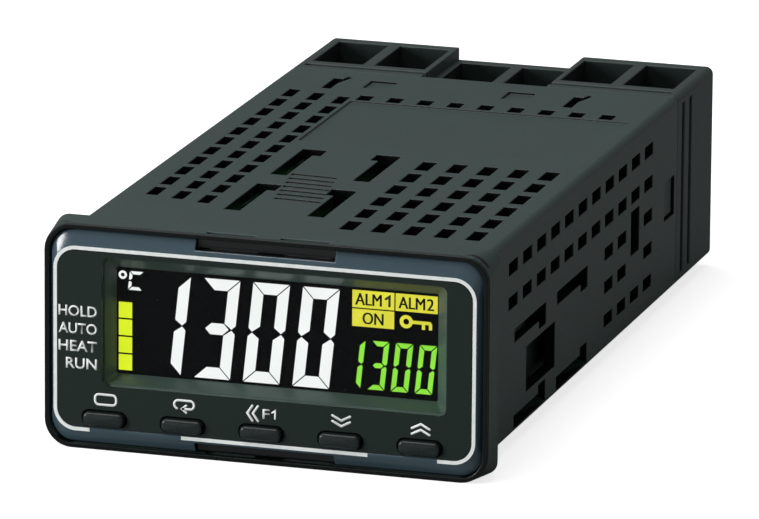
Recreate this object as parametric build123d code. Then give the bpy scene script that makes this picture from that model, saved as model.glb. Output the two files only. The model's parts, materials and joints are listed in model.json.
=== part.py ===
from build123d import *
import os
from math import radians, sqrt, tan

# Panel-mounted temperature controller, 1/32 DIN.
# Millimetres. X runs to the right seen from the front, Y runs from the front to the rear, Z is up.
# The origin is the centre of the panel opening, on the face that seats against the panel.

# Front frame, the flange that stays in front of the panel
FRONT_WIDTH = 48.0
FRONT_HEIGHT = 24.0
FLANGE_DEPTH = 4.2
FRONT_CORNER = 3.0
SEAT_CORNER = 1.4
RIM = 0.5
RIM_LINE = 0.25
RIM_LINE_DEPTH = 0.12
RIM_LINE_Y = -3.9
FLOOR_THICKNESS = 1.0

# Body behind the panel: the flange stands out round it, and a terminal block ends it
SEAT_SIDE = 1.6
SEAT_TOP = 1.15
BODY_CORNER = 0.8
CAVITY_CORNER = 0.4
INNER_CORNER = 0.2
CASE_LENGTH = 75.0
BLOCK_LENGTH = 15.0
WALL = 1.2

# Clearances
FIT = 0.1
SLIDE = 0.2
RUNNING = 0.05

# Front unit, seen from the front: bezel, printed sheet, window and silver line
FACE_PROUD = 0.3
BEVEL_SIDE = 0.55
BEVEL_TOP = 1.5
FLAT_CORNER = 2.4
FLAT_Z = -0.1
BEVEL_DROP = 0.9
FACE_THICKNESS = 1.6
SHEET_THICKNESS = 0.2
LINE_WIDTH = 0.38
LINE_THICKNESS = 0.05
LEFT_BREAK_START = 3.95
LEFT_BREAK_LENGTH = 10.0
RIGHT_BREAK_START = 4.05
RIGHT_BREAK_LENGTH = 7.5
RING_WALL = 1.2
WEB_THICKNESS = 0.4
SKIRT_LENGTH = 5.2
SKIRT_WALL = 0.8
SEAL_THICKNESS = 0.6
SEAL_WIDTH = 1.1
NOTCH_WIDTH = 15.0
NOTCH_HEIGHT = 1.05
NOTCH_DEPTH = 1.3
SLIT_INNER = 1.4
SLIT_OUTER = 6.6
SLIT_WIDTH = 0.8
SLIT_Y = -3.0

# Window: its edges are measured from the edges of the flat face
WINDOW_LEFT = 5.25
WINDOW_RIGHT = 3.15
WINDOW_TOP = 1.0
WINDOW_BOTTOM = 5.0
WINDOW_CORNER = 0.8
PANE_THICKNESS = 0.5

# Display: sloping frame, glass, light guide
SLOPE_LEFT = 1.0
SLOPE_RIGHT = 1.5
SLOPE_TOP = 1.4
SLOPE_BOTTOM = 1.0
FRAME_LIP = 0.15
FRAME_FLANGE = 1.2
FRAME_FLANGE_THICKNESS = 0.4
GLASS_MARGIN = 1.1
GLASS_THICKNESS = 1.3
GUIDE_THICKNESS = 1.5

# Display picture, drawn round its centre at this size and fitted to the lit area
PICTURE_WIDTH = 34.8
PICTURE_HEIGHT = 11.4
SEGMENT_THICKNESS = 0.05
SEGMENT_GAP = 0.12
SLANT = 6.0
MAIN_DIGIT_WIDTH = 3.95
MAIN_DIGIT_HEIGHT = 10.7
MAIN_STROKE = 1.2
MAIN_PITCH = 5.37
MAIN_X = -3.8
MAIN_Z = -0.05
SET_DIGIT_WIDTH = 1.85
SET_DIGIT_HEIGHT = 5.2
SET_STROKE = 0.52
SET_PITCH = 2.57
SET_X = 12.25
SET_Z = -2.45
UNIT_X = -15.3
UNIT_Z = 4.35
UNIT_WIDTH = 1.55
UNIT_HEIGHT = 2.0
UNIT_STROKE = 0.32
DEGREE_X = -16.75
DEGREE_Z = 4.9
DEGREE_RADIUS = 0.45
DEGREE_STROKE = 0.24
BAR_X = -16.45
BAR_Z = -1.66
BAR_WIDTH = 1.45
BAR_GAP = 0.19
BAR_PITCH = 1.87
BAR_COUNT = 4
FLAG_X = 10.4
FLAG_Z = 4.5
FLAG_WIDTH = 4.5
FLAG_HEIGHT = 1.85
FLAG_GAP = 0.15
LOCK_X = 13.95
LOCK_RADIUS = 0.7
LOCK_HOLE = 0.32
LOCK_LENGTH = 2.1
LOCK_STROKE = 0.34
LOCK_TOOTH = 0.7
LOCK_TEETH = [1.15, 1.9]

# Keys
KEY_NAMES = ["key_level", "key_mode", "key_shift", "key_down", "key_up"]
KEY_END = 5.75
KEY_X = -0.2
KEY_RISE = 1.5
KEY_HOLE_WIDTH = 5.0
KEY_HOLE_HEIGHT = 1.85
KEY_HOLE_CORNER = 0.85
KEY_GAP_X = 0.3
KEY_GAP_Z = 0.22
KEY_PROUD = 0.75
KEY_CHAMFER = 0.18
KEY_FLANGE_MARGIN = 0.45
KEY_FLANGE_THICKNESS = 0.5
KEY_TRAVEL = 0.3
STEM_WIDTH = 1.6
STEM_HEIGHT = 0.9
STEM_RISE = 0.85
SWITCH_WIDTH = 2.6
SWITCH_HEIGHT = 1.5
SWITCH_DEPTH = 1.1
PLUNGER_RADIUS = 0.45
PLUNGER_DEPTH = 0.4

# Boards and what they carry
BOARD_THICKNESS = 1.2
DISPLAY_BOARD_THICKNESS = 1.0
BOARD_START = 5.0
BOARD_SETBACK = 2.5
RAIL_THICKNESS = 0.7
RAIL_CLEARANCE = 0.35
RAIL_SETBACK = 6.0
LEDGE_WIDTH = 1.0
LEDGE_THICKNESS = 0.8
FRAME_PLATE = 1.0
FRAME_BORDER = 2.0
RAIL_BAR = 4.0
RAIL_EDGE = 3.8
RAIL_WINDOW_COUNT = 4
HEADER_WIDTH = 22.0
HEADER_HEIGHT = 2.5
HEADER_LENGTH = 6.0
LEAD_CLEARANCE = 0.05

# Parts on the boards: an edge gap from the side of the board, a headroom under the other board
LIGHT_DEPTH = 1.1
LIGHT_WIDTH = 2.8
LIGHT_PITCH = 6.0
STRIP_WIDTH = 0.9
EDGE_GAP = 2.8
CORE_SHIFT = 5.3
CORE_WIDTH = 15.0
CORE_LENGTH = 13.0
CORE_HEADROOM = 3.7
CORE_LEG = 2.0
CORE_CENTRE = 4.0
COIL_PROUD = 1.0
CAPACITOR_PITCH = 10.5
CAPACITOR_RADIUS = 4.0
CAPACITOR_HEADROOM = 2.7
CAN_CHAMFER = 0.4
RELAY_WIDTH = 7.0
RELAY_LENGTH = 20.0
RELAY_HEADROOM = 1.9
SUPPRESSOR_WIDTH = 6.0
SUPPRESSOR_LENGTH = 13.0
SUPPRESSOR_HEADROOM = 3.2
VARISTOR_RADIUS = 3.5
VARISTOR_THICKNESS = 3.5
LEAD_LENGTH = 1.0
LEAD_SIZE = 0.35
LEAD_OFFSET = 1.75
CHOKE_RADIUS = 3.0
CHOKE_WAIST = 2.0
CHOKE_HEIGHT = 7.0
CHOKE_FLANGE = 1.2
CHIP_STANDOFF = 0.1
CHIP_HEIGHT = 1.4
CHIP_LEAD = 0.9
CHIP_LEAD_WIDTH = 0.3
PROCESSOR_X = -6.0
PROCESSOR_SIZE = 10.0
PROCESSOR_LEAD_COUNT = 10
PROCESSOR_PITCH = 0.8
SMALL_CHIP_X = 5.0
SMALL_CHIP_WIDTH = 4.0
SMALL_CHIP_LENGTH = 5.0
SMALL_CHIP_COUNT = 3
SMALL_CHIP_LEAD_COUNT = 4
SMALL_CHIP_PITCH = 1.27
OPTO_EDGE = 1.65
OPTO_GAP = 0.2
OPTO_WIDTH = 6.5
OPTO_LENGTH = 4.6
OPTO_HEIGHT = 3.2
OPTO_LEAD_COUNT = 2
OPTO_PITCH = 2.54
CRYSTAL_X = -8.0
CRYSTAL_WIDTH = 10.5
CRYSTAL_LENGTH = 4.0
CRYSTAL_HEIGHT = 3.4
PAD_THICKNESS = 0.05

# Terminals
COLUMN_COUNT = 6
BLOCK_EDGE = 0.8
RIB = 1.4
BLOCK_WALL = 3.5
REAR_WALL = 1.5
SCREW_DEPTH = 5.3
WASHER_WALL = 1.2
SCREW_LENGTH = 4.4
HEAD_CLEARANCE = 0.3
HEAD_THICKNESS = 2.0
HEAD_CHAMFER = 0.5
HEAD_SLOT_WIDTH = 0.7
HEAD_SLOT_DEPTH = 0.9
POCKET_CLEARANCE = 1.2
WASHER_CLEARANCE = 0.2
WASHER_THICKNESS = 0.7
PLATE_THICKNESS = 0.8
PLATE_MARGIN = 0.6
DRIVER_STEP = 0.25
TONGUE_GAP = 0.25
TONGUE_WIDTH = 0.8
TONGUE_THICKNESS = 0.4
TONGUE_SETBACK = 5.5
COLLAR_LENGTH = 2.5
COLLAR_WALL = 0.7
LOWERED = 1.4
LATCH_LENGTH = 6.0
LATCH_HEIGHT = 4.4
LATCH_NOSE = 3.6
LATCH_NOSE_DEPTH = 1.0
REAR_GROOVE_WIDTH = 1.0
TOP_GROOVE_DEPTH = 0.8
SIDE_GROOVE_DEPTH = 0.7
SIDE_GROOVE_STEPS = [2.0, 5.0]

# Vents and tracks in the walls of the case, measured from its sides, its front or its rear end
TOP_HOLE_WIDTH = 1.25
TOP_HOLE_LENGTH = 3.5
LEFT_FIELD_SIDE = 3.8
LEFT_FIELD_Y = 16.4
LEFT_FIELD_END = 11.9
LEFT_COLUMNS = 3
LEFT_ROWS = 11
LEFT_PITCH_X = 3.1
LEFT_STAGGER = -0.8
RIGHT_HOLE_WIDTH = 1.5
RIGHT_HOLE_LENGTH = 3.8
RIGHT_FIELD_SIDE = 3.52
RIGHT_FIELD_Y = 8.9
RIGHT_COLUMNS = 5
RIGHT_ROWS = 6
RIGHT_PITCH_X = 3.42
RIGHT_PITCH_Y = 5.37
REAR_ROW_SIDE = 4.82
REAR_ROW_END = 11.7
REAR_ROW_COUNT = 9
REAR_ROW_PITCH = 3.46
REAR_HOLE_WIDTH = 1.5
REAR_HOLE_LENGTH = 2.3
TRACK_CENTRE_X = -4.0
TRACK_OFFSET = 4.6
TRACK_WIDTH = 1.75
TRACK_LENGTH = 11.8
TRACK_STARTS = [11.2, 27.2]
TRACK_TOE = 0.9
TRACK_TOE_LENGTH = 2.6
RATCHET_WIDTH = 5.2
RATCHET_START = 16.6
RATCHET_TOOTH_COUNT = 7
RATCHET_PITCH = 1.75
RATCHET_TOOTH = 1.0
RATCHET_SHIFT = -0.25
RATCHET_TURN = -4.0
RATCHET_DEPTH = 0.25
LABEL_LEFT_SIDE = 11.2
LABEL_RIGHT_SIDE = 2.0
LABEL_END = 13.4
LABEL_LENGTH = 19.1
LABEL_DEPTH = 0.2
FORK_LEFT_SIDE = 6.8
FORK_RIGHT_SIDE = 10.3
FORK_END = 8.7
FORK_WIDTH = 1.0
FORK_LENGTH = 5.0
BRANCH_WIDTH = 0.5
BRANCH_TURN = -15.0
BRANCH_LENGTH = 4.8
BRANCH_RISE = 3.75
MARK_LEFT_SIDE = 12.1
MARK_RIGHT_SIDE = 16.8
MARK_END = 3.6
MARK_WIDTH = 3.0
MARK_LENGTH = 3.5
MARK_DEPTH = 0.3
SIDE_HOLE_LENGTH = 3.3
SIDE_HOLE_HEIGHT = 1.35
SIDE_ROW_Y = 10.5
SIDE_ROW_END = 11.8
SIDE_COLUMN_COUNT = 11
SIDE_ROW_MARGIN = 3.4
SIDE_FULL_ROW_COUNT = 2
SIDE_SHORT_ROWS = [[7, 8, 10], [7, 8, 10], [7, 8, 9, 10]]
SIDE_SLOT_Z = -0.3
SIDE_SLOT_HEIGHT = 4.9
SIDE_WINDOW_Y = 15.7
SIDE_WINDOW_LENGTH = 10.8
SIDE_WINDOW_RISE = 3.45
SIDE_WINDOW_HEIGHT = 4.9
SIDE_TRACK_RISE = 6.0
SIDE_TRACK_OFFSET = 4.65
SIDE_TRACK_WIDTH = 1.4

# Body and its cavity, worked out from the sizes above
BODY_WIDTH = FRONT_WIDTH - 2 * SEAT_SIDE
BODY_HEIGHT = FRONT_HEIGHT - 2 * SEAT_TOP
BODY_DEPTH = CASE_LENGTH + BLOCK_LENGTH
TOP_Z = BODY_HEIGHT / 2
SIDE_X = BODY_WIDTH / 2
CAVITY_W = BODY_WIDTH - 2 * WALL
CAVITY_H = BODY_HEIGHT - 2 * WALL
SKIRT_W = CAVITY_W - 2 * SLIDE
SKIRT_H = CAVITY_H - 2 * SLIDE
SKIRT_IN_W = SKIRT_W - 2 * SKIRT_WALL
SKIRT_IN_H = SKIRT_H - 2 * SKIRT_WALL

# Planes of the front unit, from the front to the rear
FACE_Y = -FLANGE_DEPTH - FACE_PROUD
SHEET_BACK_Y = FACE_Y + SHEET_THICKNESS
FACE_BACK_Y = FACE_Y + FACE_THICKNESS
FLOOR_Y = -FLOOR_THICKNESS
SEAL_FRONT_Y = FLOOR_Y - SEAL_THICKNESS
WEB_FRONT_Y = SEAL_FRONT_Y - WEB_THICKNESS
GLASS_Y = FACE_BACK_Y + FRAME_FLANGE_THICKNESS
GUIDE_Y = GLASS_Y + GLASS_THICKNESS
DISPLAY_BOARD_Y = GUIDE_Y + GUIDE_THICKNESS
FRAME_PLATE_Y = DISPLAY_BOARD_Y + DISPLAY_BOARD_THICKNESS
SWITCH_FACE_Y = DISPLAY_BOARD_Y - SWITCH_DEPTH - PLUNGER_DEPTH

# Front unit seen from the front
UNIT_W = FRONT_WIDTH - 2 * RIM - 2 * FIT
UNIT_H = FRONT_HEIGHT - 2 * RIM - 2 * FIT
FLAT_WIDTH = UNIT_W - 2 * BEVEL_SIDE
FLAT_HEIGHT = UNIT_H - 2 * BEVEL_TOP
WINDOW_WIDTH = FLAT_WIDTH - WINDOW_LEFT - WINDOW_RIGHT
WINDOW_HEIGHT = FLAT_HEIGHT - WINDOW_TOP - WINDOW_BOTTOM
WINDOW_X = (WINDOW_LEFT - WINDOW_RIGHT) / 2
WINDOW_Z = FLAT_Z + (WINDOW_BOTTOM - WINDOW_TOP) / 2
LIT_WIDTH = WINDOW_WIDTH - SLOPE_LEFT - SLOPE_RIGHT
LIT_HEIGHT = WINDOW_HEIGHT - SLOPE_TOP - SLOPE_BOTTOM
GLASS_X = WINDOW_X + (SLOPE_LEFT - SLOPE_RIGHT) / 2
GLASS_Z = WINDOW_Z + (SLOPE_BOTTOM - SLOPE_TOP) / 2
KEY_PITCH = (FLAT_WIDTH - 2 * KEY_END) / (len(KEY_NAMES) - 1)
KEY_Z = FLAT_Z - FLAT_HEIGHT / 2 + KEY_RISE
SWITCH_Z = KEY_Z + STEM_RISE

# Boards and their frame
RAIL_HEIGHT = SKIRT_IN_H - 2 * RAIL_CLEARANCE
RAIL_END = CASE_LENGTH - RAIL_SETBACK
BOARD_WIDTH = SKIRT_IN_W - 2 * (FIT + RAIL_THICKNESS + FIT)
BOARD_END = CASE_LENGTH - BOARD_SETBACK
BOARD_INNER_Z = RAIL_HEIGHT / 2 - BOARD_THICKNESS
RAIL_X = BOARD_WIDTH / 2 + FIT
SPACE = 2 * BOARD_INNER_Z

# Terminal block
POCKET_FRONT = CASE_LENGTH + BLOCK_WALL
POCKET_REAR = BODY_DEPTH - REAR_WALL
COLUMN_PITCH = (BODY_WIDTH - 2 * BLOCK_EDGE) / COLUMN_COUNT
POCKET_WIDTH = COLUMN_PITCH - RIB
HEAD_RADIUS = POCKET_WIDTH / 2 - HEAD_CLEARANCE
SCREW_Z = TOP_Z - SCREW_DEPTH
SCREW_RADIUS = POCKET_WIDTH / 2 - WASHER_CLEARANCE - WASHER_WALL
SCREW_HOLE_RADIUS = SCREW_RADIUS + SLIDE
POCKET_FLOOR_Z = SCREW_Z - HEAD_RADIUS - POCKET_CLEARANCE
TONGUE_OFFSET = SCREW_HOLE_RADIUS + TONGUE_GAP + TONGUE_WIDTH / 2
TONGUE_END = CASE_LENGTH - TONGUE_SETBACK


def front_plane(y, x=0.0, z=0.0):
    """Plane facing the front at depth y: local x is X and local y is Z."""
    return Plane(origin=(x, y, z), x_dir=(1, 0, 0), z_dir=(0, -1, 0))


def plate(width, height, corner, y0, y1, x=0.0, z=0.0):
    """Rounded rectangle seen from the front, solid from depth y0 to depth y1."""
    return extrude(front_plane(y1, x, z) * RectangleRounded(width, height, corner), amount=y1 - y0)


def block(x0, x1, y0, y1, z0, z1):
    """Plain box between two corners."""
    centre = Pos((x0 + x1) / 2, (y0 + y1) / 2, (z0 + z1) / 2)
    return centre * Box(abs(x1 - x0), abs(y1 - y0), abs(z1 - z0))


def rod(radius, x, y0, y1, z):
    """Round bar along Y."""
    return extrude(front_plane(y1, x, z) * Circle(radius), amount=y1 - y0)


def taper(width0, height0, corner0, y0, width1, height1, corner1, y1, x0=0.0, z0=0.0, x1=0.0, z1=0.0):
    """Solid between a rounded rectangle at depth y0 and another at depth y1."""
    front = front_plane(y0, x0, z0) * RectangleRounded(width0, height0, corner0)
    rear = front_plane(y1, x1, z1) * RectangleRounded(width1, height1, corner1)
    return loft([front, rear])


def key_x(index):
    """Centre of a key, counted from the left."""
    return KEY_X + (index - (len(KEY_NAMES) - 1) / 2) * KEY_PITCH


def column_xs():
    """Centres of the terminal columns."""
    return [(i - (COLUMN_COUNT - 1) / 2) * COLUMN_PITCH for i in range(COLUMN_COUNT)]


def top_cut(x0, x1, y0, y1, depth=2 * WALL):
    """Cutter through the top wall, or a recess in it of a given depth."""
    return block(x0, x1, y0, y1, TOP_Z - depth, TOP_Z + WALL)


def side_cut(y0, y1, z0, z1, depth=2 * WALL):
    """Cutter through the right wall."""
    return block(SIDE_X - depth, SIDE_X + WALL, y0, y1, z0, z1)


def hole_grid(x0, y0, columns, rows, pitch_x, pitch_y, width, length, stagger=0.0):
    """Rows of rectangular vents in the top wall."""
    cuts = []
    for c in range(columns):
        for r in range(rows):
            x = x0 + c * pitch_x
            y = y0 + r * pitch_y + c * stagger
            cuts.append(top_cut(x - width / 2, x + width / 2, y - length / 2, y + length / 2))
    return cuts


def top_tracks():
    """Two pairs of L-shaped slots that a mounting clip runs in, toes turned inwards."""
    cuts = []
    for start in TRACK_STARTS:
        for side in (-1, 1):
            x = TRACK_CENTRE_X + side * TRACK_OFFSET
            end = start + TRACK_LENGTH
            cuts.append(top_cut(x - TRACK_WIDTH / 2, x + TRACK_WIDTH / 2, start, end))
            inner = x - side * (TRACK_WIDTH / 2 + TRACK_TOE)
            cuts.append(top_cut(min(x, inner), max(x, inner), end - TRACK_TOE_LENGTH, end))
    return cuts


def forks():
    """Slots at the rear of the top, each with a narrow slanting branch."""
    start = CASE_LENGTH - FORK_END
    cuts = []
    for x in (FORK_LEFT_SIDE - SIDE_X, SIDE_X - FORK_RIGHT_SIDE):
        cuts.append(top_cut(x - FORK_WIDTH / 2, x + FORK_WIDTH / 2, start, start + FORK_LENGTH))
        branch = Box(BRANCH_WIDTH, BRANCH_LENGTH, 2 * WALL)
        place = Pos(x + FORK_WIDTH / 2, start + BRANCH_RISE, TOP_Z) * Rot(0, 0, BRANCH_TURN)
        cuts.append(place * branch)
    return cuts


def ratchet_grooves():
    """Saw-tooth grooves between the tracks, steep sides to the front, each a step to the left."""
    cuts = []
    for i in range(RATCHET_TOOTH_COUNT):
        section = Polygon((0, RATCHET_DEPTH), (RATCHET_TOOTH, 0), (RATCHET_TOOTH, RATCHET_DEPTH), align=None)
        tooth = extrude(Plane.YZ * section, amount=RATCHET_WIDTH / 2, both=True)
        x = TRACK_CENTRE_X + (i - (RATCHET_TOOTH_COUNT - 1) / 2) * RATCHET_SHIFT
        place = Pos(x, RATCHET_START + i * RATCHET_PITCH, TOP_Z - RATCHET_DEPTH)
        cuts.append(place * Rot(0, 0, RATCHET_TURN) * tooth)
    return cuts


def side_cuts():
    """Vents, window and clip tracks in one side wall."""
    rows = [range(SIDE_COLUMN_COUNT)] * SIDE_FULL_ROW_COUNT + SIDE_SHORT_ROWS
    pitch_y = (CASE_LENGTH - SIDE_ROW_END - SIDE_ROW_Y) / (SIDE_COLUMN_COUNT - 1)
    pitch_z = (BODY_HEIGHT - 2 * SIDE_ROW_MARGIN) / (len(rows) - 1)
    half = SIDE_HOLE_LENGTH / 2
    cuts = []
    for row, places in enumerate(rows):
        z = TOP_Z - SIDE_ROW_MARGIN - row * pitch_z
        for i in places:
            y = SIDE_ROW_Y + i * pitch_y
            cuts.append(side_cut(y - half, y + half, z - SIDE_HOLE_HEIGHT / 2, z + SIDE_HOLE_HEIGHT / 2))
    slot_y = SIDE_ROW_Y + (SIDE_COLUMN_COUNT - 2) * pitch_y
    cuts.append(side_cut(slot_y - half, slot_y + half,
                         SIDE_SLOT_Z - SIDE_SLOT_HEIGHT / 2, SIDE_SLOT_Z + SIDE_SLOT_HEIGHT / 2))
    window_z = SIDE_WINDOW_RISE - TOP_Z
    cuts.append(side_cut(SIDE_WINDOW_Y, SIDE_WINDOW_Y + SIDE_WINDOW_LENGTH,
                         window_z, window_z + SIDE_WINDOW_HEIGHT))
    for start in TRACK_STARTS:
        for side in (-1, 1):
            z = SIDE_TRACK_RISE - TOP_Z + side * SIDE_TRACK_OFFSET
            end = start + TRACK_LENGTH
            cuts.append(side_cut(start, end, z - SIDE_TRACK_WIDTH / 2, z + SIDE_TRACK_WIDTH / 2))
            inner = z - side * (SIDE_TRACK_WIDTH / 2 + TRACK_TOE)
            cuts.append(side_cut(end - TRACK_TOE_LENGTH, end, min(z, inner), max(z, inner)))
    return cuts


def latch_window():
    """Opening in the right wall for the nose of the rear block's latch."""
    y = CASE_LENGTH - LATCH_LENGTH / 2
    half = LATCH_NOSE / 2 + SLIDE
    return side_cut(y - half, y + half, -LATCH_HEIGHT / 2, LATCH_HEIGHT / 2)


def rear_case():
    """Case: front flange with a tapering corner, pocket for the front unit, sleeve with vents."""
    shell = taper(FRONT_WIDTH, FRONT_HEIGHT, FRONT_CORNER, -FLANGE_DEPTH,
                  FRONT_WIDTH, FRONT_HEIGHT, SEAT_CORNER, 0.0)
    shell += plate(BODY_WIDTH, BODY_HEIGHT, BODY_CORNER, 0.0, CASE_LENGTH)
    shell -= plate(FRONT_WIDTH - 2 * RIM, FRONT_HEIGHT - 2 * RIM, FRONT_CORNER - RIM,
                   -2 * FLANGE_DEPTH, FLOOR_Y)
    shell -= plate(CAVITY_W, CAVITY_H, CAVITY_CORNER, FLOOR_Y, CASE_LENGTH)
    line = plate(FRONT_WIDTH + RIM, FRONT_HEIGHT + RIM, FRONT_CORNER, RIM_LINE_Y, RIM_LINE_Y + RIM_LINE)
    line -= plate(FRONT_WIDTH - 2 * RIM_LINE_DEPTH, FRONT_HEIGHT - 2 * RIM_LINE_DEPTH,
                  FRONT_CORNER - RIM_LINE_DEPTH, RIM_LINE_Y, RIM_LINE_Y + RIM_LINE)
    shell -= line
    left_pitch = (CASE_LENGTH - LEFT_FIELD_END - LEFT_FIELD_Y) / (LEFT_ROWS - 1)
    cuts = hole_grid(LEFT_FIELD_SIDE - SIDE_X, LEFT_FIELD_Y, LEFT_COLUMNS, LEFT_ROWS, LEFT_PITCH_X,
                     left_pitch, TOP_HOLE_WIDTH, TOP_HOLE_LENGTH, LEFT_STAGGER)
    right_x = SIDE_X - RIGHT_FIELD_SIDE - (RIGHT_COLUMNS - 1) * RIGHT_PITCH_X
    cuts += hole_grid(right_x, RIGHT_FIELD_Y, RIGHT_COLUMNS, RIGHT_ROWS, RIGHT_PITCH_X,
                      RIGHT_PITCH_Y, RIGHT_HOLE_WIDTH, RIGHT_HOLE_LENGTH)
    rear_x = SIDE_X - REAR_ROW_SIDE - (REAR_ROW_COUNT - 1) * REAR_ROW_PITCH
    cuts += hole_grid(rear_x, CASE_LENGTH - REAR_ROW_END, REAR_ROW_COUNT, 1, REAR_ROW_PITCH, 0.0,
                      REAR_HOLE_WIDTH, REAR_HOLE_LENGTH)
    cuts += top_tracks() + forks() + ratchet_grooves()
    mark_y = CASE_LENGTH - MARK_END
    for x in (MARK_LEFT_SIDE - SIDE_X, SIDE_X - MARK_RIGHT_SIDE):
        cuts.append(top_cut(x - MARK_WIDTH / 2, x + MARK_WIDTH / 2, mark_y - MARK_LENGTH, mark_y, MARK_DEPTH))
    label_y = CASE_LENGTH - LABEL_END
    cuts.append(top_cut(LABEL_LEFT_SIDE - SIDE_X, SIDE_X - LABEL_RIGHT_SIDE, label_y - LABEL_LENGTH,
                        label_y, LABEL_DEPTH))
    for side in (-1, 1):
        low, high = sorted((side * SLIT_INNER, side * SLIT_OUTER))
        cuts.append(block(low, high, SLIT_Y - SLIT_WIDTH / 2, SLIT_Y + SLIT_WIDTH / 2,
                          FRONT_HEIGHT / 2 - 2 * RIM, FRONT_HEIGHT))
    top = Part() + cuts
    right = Part() + (side_cuts() + [latch_window()])
    shell -= top
    shell -= mirror(top, about=Plane.XY)
    shell -= right
    shell -= mirror(right, about=Plane.YZ)
    return shell


def terminal_block():
    """Rear block: two rows of open terminal pockets, collar and latches that join the case."""
    part = plate(BODY_WIDTH, BODY_HEIGHT, BODY_CORNER, CASE_LENGTH, BODY_DEPTH)
    collar_w = CAVITY_W - 2 * FIT
    collar_h = CAVITY_H - 2 * FIT
    part += plate(collar_w, collar_h, CAVITY_CORNER, CASE_LENGTH - COLLAR_LENGTH, CASE_LENGTH)
    part -= plate(collar_w - 2 * COLLAR_WALL, collar_h - 2 * COLLAR_WALL, INNER_CORNER,
                  CASE_LENGTH - COLLAR_LENGTH, CASE_LENGTH)
    for side in (-1, 1):
        x_out = side * collar_w / 2
        x_in = side * (collar_w / 2 - COLLAR_WALL)
        part += block(x_in, x_out, CASE_LENGTH - LATCH_LENGTH, CASE_LENGTH,
                      -LATCH_HEIGHT / 2 + SLIDE, LATCH_HEIGHT / 2 - SLIDE)
        y = CASE_LENGTH - LATCH_LENGTH / 2
        part += block(x_out, x_out + side * LATCH_NOSE_DEPTH, y - LATCH_NOSE / 2, y + LATCH_NOSE / 2,
                      -LATCH_HEIGHT / 2 + SLIDE, LATCH_HEIGHT / 2 - SLIDE)
    cuts = []
    for row in (-1, 1):
        for x in column_xs():
            low, high = sorted((row * POCKET_FLOOR_Z, row * BODY_HEIGHT))
            half = POCKET_WIDTH / 2
            cuts.append(block(x - half, x + half, POCKET_FRONT, POCKET_REAR, low, high))
            cuts.append(rod(SCREW_RADIUS - DRIVER_STEP, x, POCKET_REAR, BODY_DEPTH, row * SCREW_Z))
            cuts.append(rod(SCREW_HOLE_RADIUS, x, CASE_LENGTH, POCKET_FRONT, row * SCREW_Z))
            cuts.append(tongue(x, row, CASE_LENGTH, POCKET_FRONT, FIT))
        low, high = sorted((row * (TOP_Z - LOWERED), row * BODY_HEIGHT))
        cuts.append(block(-COLUMN_PITCH, COLUMN_PITCH, CASE_LENGTH, BODY_DEPTH, low, high))
        low, high = sorted((row * (TOP_Z - TOP_GROOVE_DEPTH), row * BODY_HEIGHT))
        for side in (-1, 1):
            near, far = sorted((side * COLUMN_PITCH, side * (SIDE_X - WALL)))
            groove_y = (CASE_LENGTH + POCKET_FRONT) / 2
            cuts.append(block(near, far, groove_y - REAR_GROOVE_WIDTH / 2,
                              groove_y + REAR_GROOVE_WIDTH / 2, low, high))
    for side in (-1, 1):
        low, high = sorted((side * (SIDE_X - SIDE_GROOVE_DEPTH), side * FRONT_WIDTH))
        for step in SIDE_GROOVE_STEPS:
            y = CASE_LENGTH + step
            cuts.append(block(low, high, y, y + REAR_GROOVE_WIDTH, -TOP_Z + WALL, TOP_Z - WALL))
    part -= Part() + cuts
    return part


def tongue_x(x):
    """Centre of a terminal's tongue, beside its screw on the inner side."""
    return x - TONGUE_OFFSET if x > 0 else x + TONGUE_OFFSET


def tongue(x, row, y0, y1, margin=0.0):
    """Contact tongue of one terminal, or the slot for it where a margin is given."""
    centre = tongue_x(x)
    z = BOARD_INNER_Z - FIT - TONGUE_THICKNESS / 2
    low, high = sorted((row * (z - TONGUE_THICKNESS / 2 - margin), row * (z + TONGUE_THICKNESS / 2 + margin)))
    return block(centre - TONGUE_WIDTH / 2 - margin, centre + TONGUE_WIDTH / 2 + margin, y0, y1, low, high)


def terminal_plates():
    """Brass plates in the pockets, each with a tongue that reaches a board."""
    plates = []
    for row in (-1, 1):
        for x in column_xs():
            reach = HEAD_RADIUS + PLATE_MARGIN
            low, high = sorted((row * (SCREW_Z - reach), row * (SCREW_Z + reach)))
            half = POCKET_WIDTH / 2 - FIT
            one = block(x - half, x + half, POCKET_FRONT, POCKET_FRONT + PLATE_THICKNESS, low, high)
            one += tongue(x, row, TONGUE_END, POCKET_FRONT)
            one -= rod(SCREW_RADIUS + RUNNING, x, POCKET_FRONT, POCKET_FRONT + PLATE_THICKNESS, row * SCREW_Z)
            plates.append(one)
    return plates


def terminal_screws():
    """Slotted pan-head screws, heads to the rear."""
    seat = POCKET_FRONT + PLATE_THICKNESS + WASHER_THICKNESS
    screws = []
    for row in (-1, 1):
        for x in column_xs():
            z = row * SCREW_Z
            head = rod(HEAD_RADIUS, x, seat, seat + HEAD_THICKNESS, z)
            head = chamfer(head.faces().sort_by(Axis.Y)[-1].edges(), HEAD_CHAMFER)
            slot = block(x - HEAD_RADIUS, x + HEAD_RADIUS, seat + HEAD_THICKNESS - HEAD_SLOT_DEPTH,
                         seat + HEAD_THICKNESS, z - HEAD_SLOT_WIDTH / 2, z + HEAD_SLOT_WIDTH / 2)
            screws.append(head - slot + rod(SCREW_RADIUS, x, seat - SCREW_LENGTH, seat, z))
    return screws


def terminal_washers():
    """Square clamping washers under the screw heads."""
    y = POCKET_FRONT + PLATE_THICKNESS
    washers = []
    for row in (-1, 1):
        for x in column_xs():
            z = row * SCREW_Z
            half = POCKET_WIDTH / 2 - WASHER_CLEARANCE
            one = block(x - half, x + half, y, y + WASHER_THICKNESS, z - half, z + half)
            washers.append(one - rod(SCREW_RADIUS + RUNNING, x, y, y + WASHER_THICKNESS, z))
    return washers


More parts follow.
